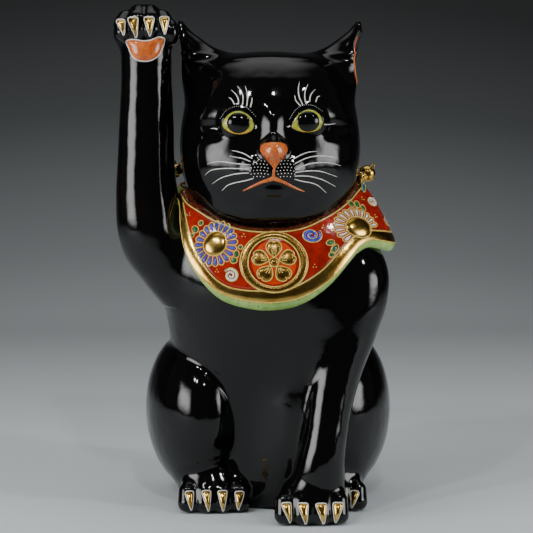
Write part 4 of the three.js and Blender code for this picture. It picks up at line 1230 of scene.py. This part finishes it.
# ---- Stage, light and camera, in metres
MIDDLE = Vector((0, 0, 0.2))
SOFTBOX_EDGE, CEILING_EDGE = 0.055, 0.06  # how much of a light's face its soft edge takes
# Grey levels of the paper's painted light falloff: a painted pool of light by the figurine, fading to painted
# shade far off and high up the backdrop.
PAPER_PAINTED_FALLOFF = [(0.08, 0.68), (0.27, 0.55), (0.45, 0.42), (0.56, 0.27), (0.79, 0.08), (0.95, 0.027)]
PAPER_TINT = (0.93, 1, 1.03)
SWEEP = dict(start=0.9, radius=0.7, front=-2.2, top=2.6, half_width=3.5)
CAMERA = dict(azimuth=-2.5, elevation=5.6, distance=1.2, target=(-0.0021, 0, 0.1735), lens=110.3)


def direction(azimuth, elevation):
    """The way to a place round the figurine: azimuth in degrees from its front towards its left."""
    a, e = math.radians(azimuth), math.radians(elevation)
    return Vector((math.sin(a) * math.cos(e), -math.cos(a) * math.cos(e), math.sin(e)))


def add_facing(name, data, place, target):
    """A light or camera at a place, turned to its target."""
    made = bpy.data.objects.new(name, data)
    made.location = place
    made.rotation_mode = "QUATERNION"
    made.rotation_quaternion = (Vector(target) - Vector(place)).to_track_quat("-Z", "Y")
    bpy.context.scene.collection.objects.link(made)
    return made


def add_area(name, place, target, size, power, soft_edge=None):
    light = bpy.data.lights.new(name, "AREA")
    light.shape = "RECTANGLE"
    light.size, light.size_y = size
    light.energy = power
    add_facing(name, light, place, target)
    if soft_edge:
        fade(light, soft_edge)


def fade(light, clear):
    """Lets a light fall off softly towards its edges, as cloth over a lamp does."""
    light.use_nodes = True
    tree = light.node_tree
    across = node(tree, "SeparateXYZ", {"Vector": node(tree, "NewGeometry").outputs["Parametric"]})

    def math_node(operation, a, b):
        return node(tree, "Math", {0: a, 1: b}, operation=operation).outputs["Value"]

    x, y = (math_node("MULTIPLY", share, math_node("SUBTRACT", 1.0, share))
            for share in (across.outputs["X"], across.outputs["Y"]))
    soft = node(tree, "MapRange", {"Value": math_node("MULTIPLY", x, y), "From Min": 0.0, "From Max": clear},
                interpolation_type="SMOOTHSTEP")
    put(tree, soft.outputs["Result"], tree.nodes["Emission"].inputs["Strength"])


def make_paper_with_painted_falloff():
    """Studio paper with painted light falloff: pale round the figurine as a painted pool of light, and
    painted shade that grows darker away from it and up the backdrop.
    """
    material = bpy.data.materials.new("studio_paper_painted_falloff")
    material.use_nodes = True
    tree = material.node_tree
    place = own_metres(tree)
    height = node(tree, "SeparateXYZ", {"Vector": place}).outputs["Z"]
    flat = node(tree, "VectorMath", {0: place, 1: (1, 1, 0)}, operation="MULTIPLY").outputs["Vector"]
    away = node(tree, "VectorMath", {0: flat}, operation="LENGTH").outputs["Value"]
    falloff_reach = node(tree, "Math", {0: height, 1: 1.5, 2: away}, operation="MULTIPLY_ADD").outputs["Value"]
    # Painted light falloff: paler near the figurine, painted shade darker with distance and height.
    share = spread(tree, falloff_reach, 0, 1, ends=(0, 2.4))
    return finish(material, {
        "Base Color": ramp(tree, share, [(s, tuple(v * tint for tint in PAPER_TINT)) for s, v in PAPER_PAINTED_FALLOFF]),
        "Roughness": 0.85,
        "Normal": bump(tree, noise(tree, 260, 4), 0.0001),
    })


def add_stage():
    """A pale floor that sweeps up into a backdrop well behind the figurine."""
    start, radius, wide = SWEEP["start"], SWEEP["radius"], SWEEP["half_width"]
    profile = [(SWEEP["front"], 0), (start, 0)]
    profile += [(start + radius * math.sin(a), radius - radius * math.cos(a))
                for a in np.linspace(0.08, math.pi / 2, 16)]
    profile += [(start + radius, SWEEP["top"])]
    points = [(x, y, z) for y, z in profile for x in (-wide, wide)]
    faces = [(2 * i, 2 * i + 1, 2 * i + 3, 2 * i + 2) for i in range(len(profile) - 1)]
    new_object("floor", points, faces, make_paper_with_painted_falloff())


add_stage()
add_area("softbox_right", MIDDLE + 1.2 * direction(-65, 9), MIDDLE, (0.88, 0.74), 20, SOFTBOX_EDGE)
add_area("softbox_left", MIDDLE + 1.2 * direction(70, 9), MIDDLE, (0.78, 0.70), 15.5, SOFTBOX_EDGE)
for k, azimuth in enumerate((-46, -32, 5, 54)):
    add_area("bulb_%d" % k, MIDDLE + 1.3 * direction(azimuth, 43), MIDDLE, (0.05, 0.05), 2.4)
add_area("ceiling", (0, 0.3, 2.2), (0, 0, 0.1), (2.8, 2.2), 24, CEILING_EDGE)
world = bpy.data.worlds.new("studio")
world.use_nodes = True
world.node_tree.nodes["Background"].inputs["Color"].default_value = (0.035, 0.036, 0.038, 1)
bpy.context.scene.world = world

view = bpy.data.cameras.new("camera")
view.sensor_width = 36
view.lens = CAMERA["lens"]
view.clip_end = 20
target = Vector(CAMERA["target"])
place = target + direction(CAMERA["azimuth"], CAMERA["elevation"]) * CAMERA["distance"]
bpy.context.scene.camera = add_facing("camera", view, place, target)
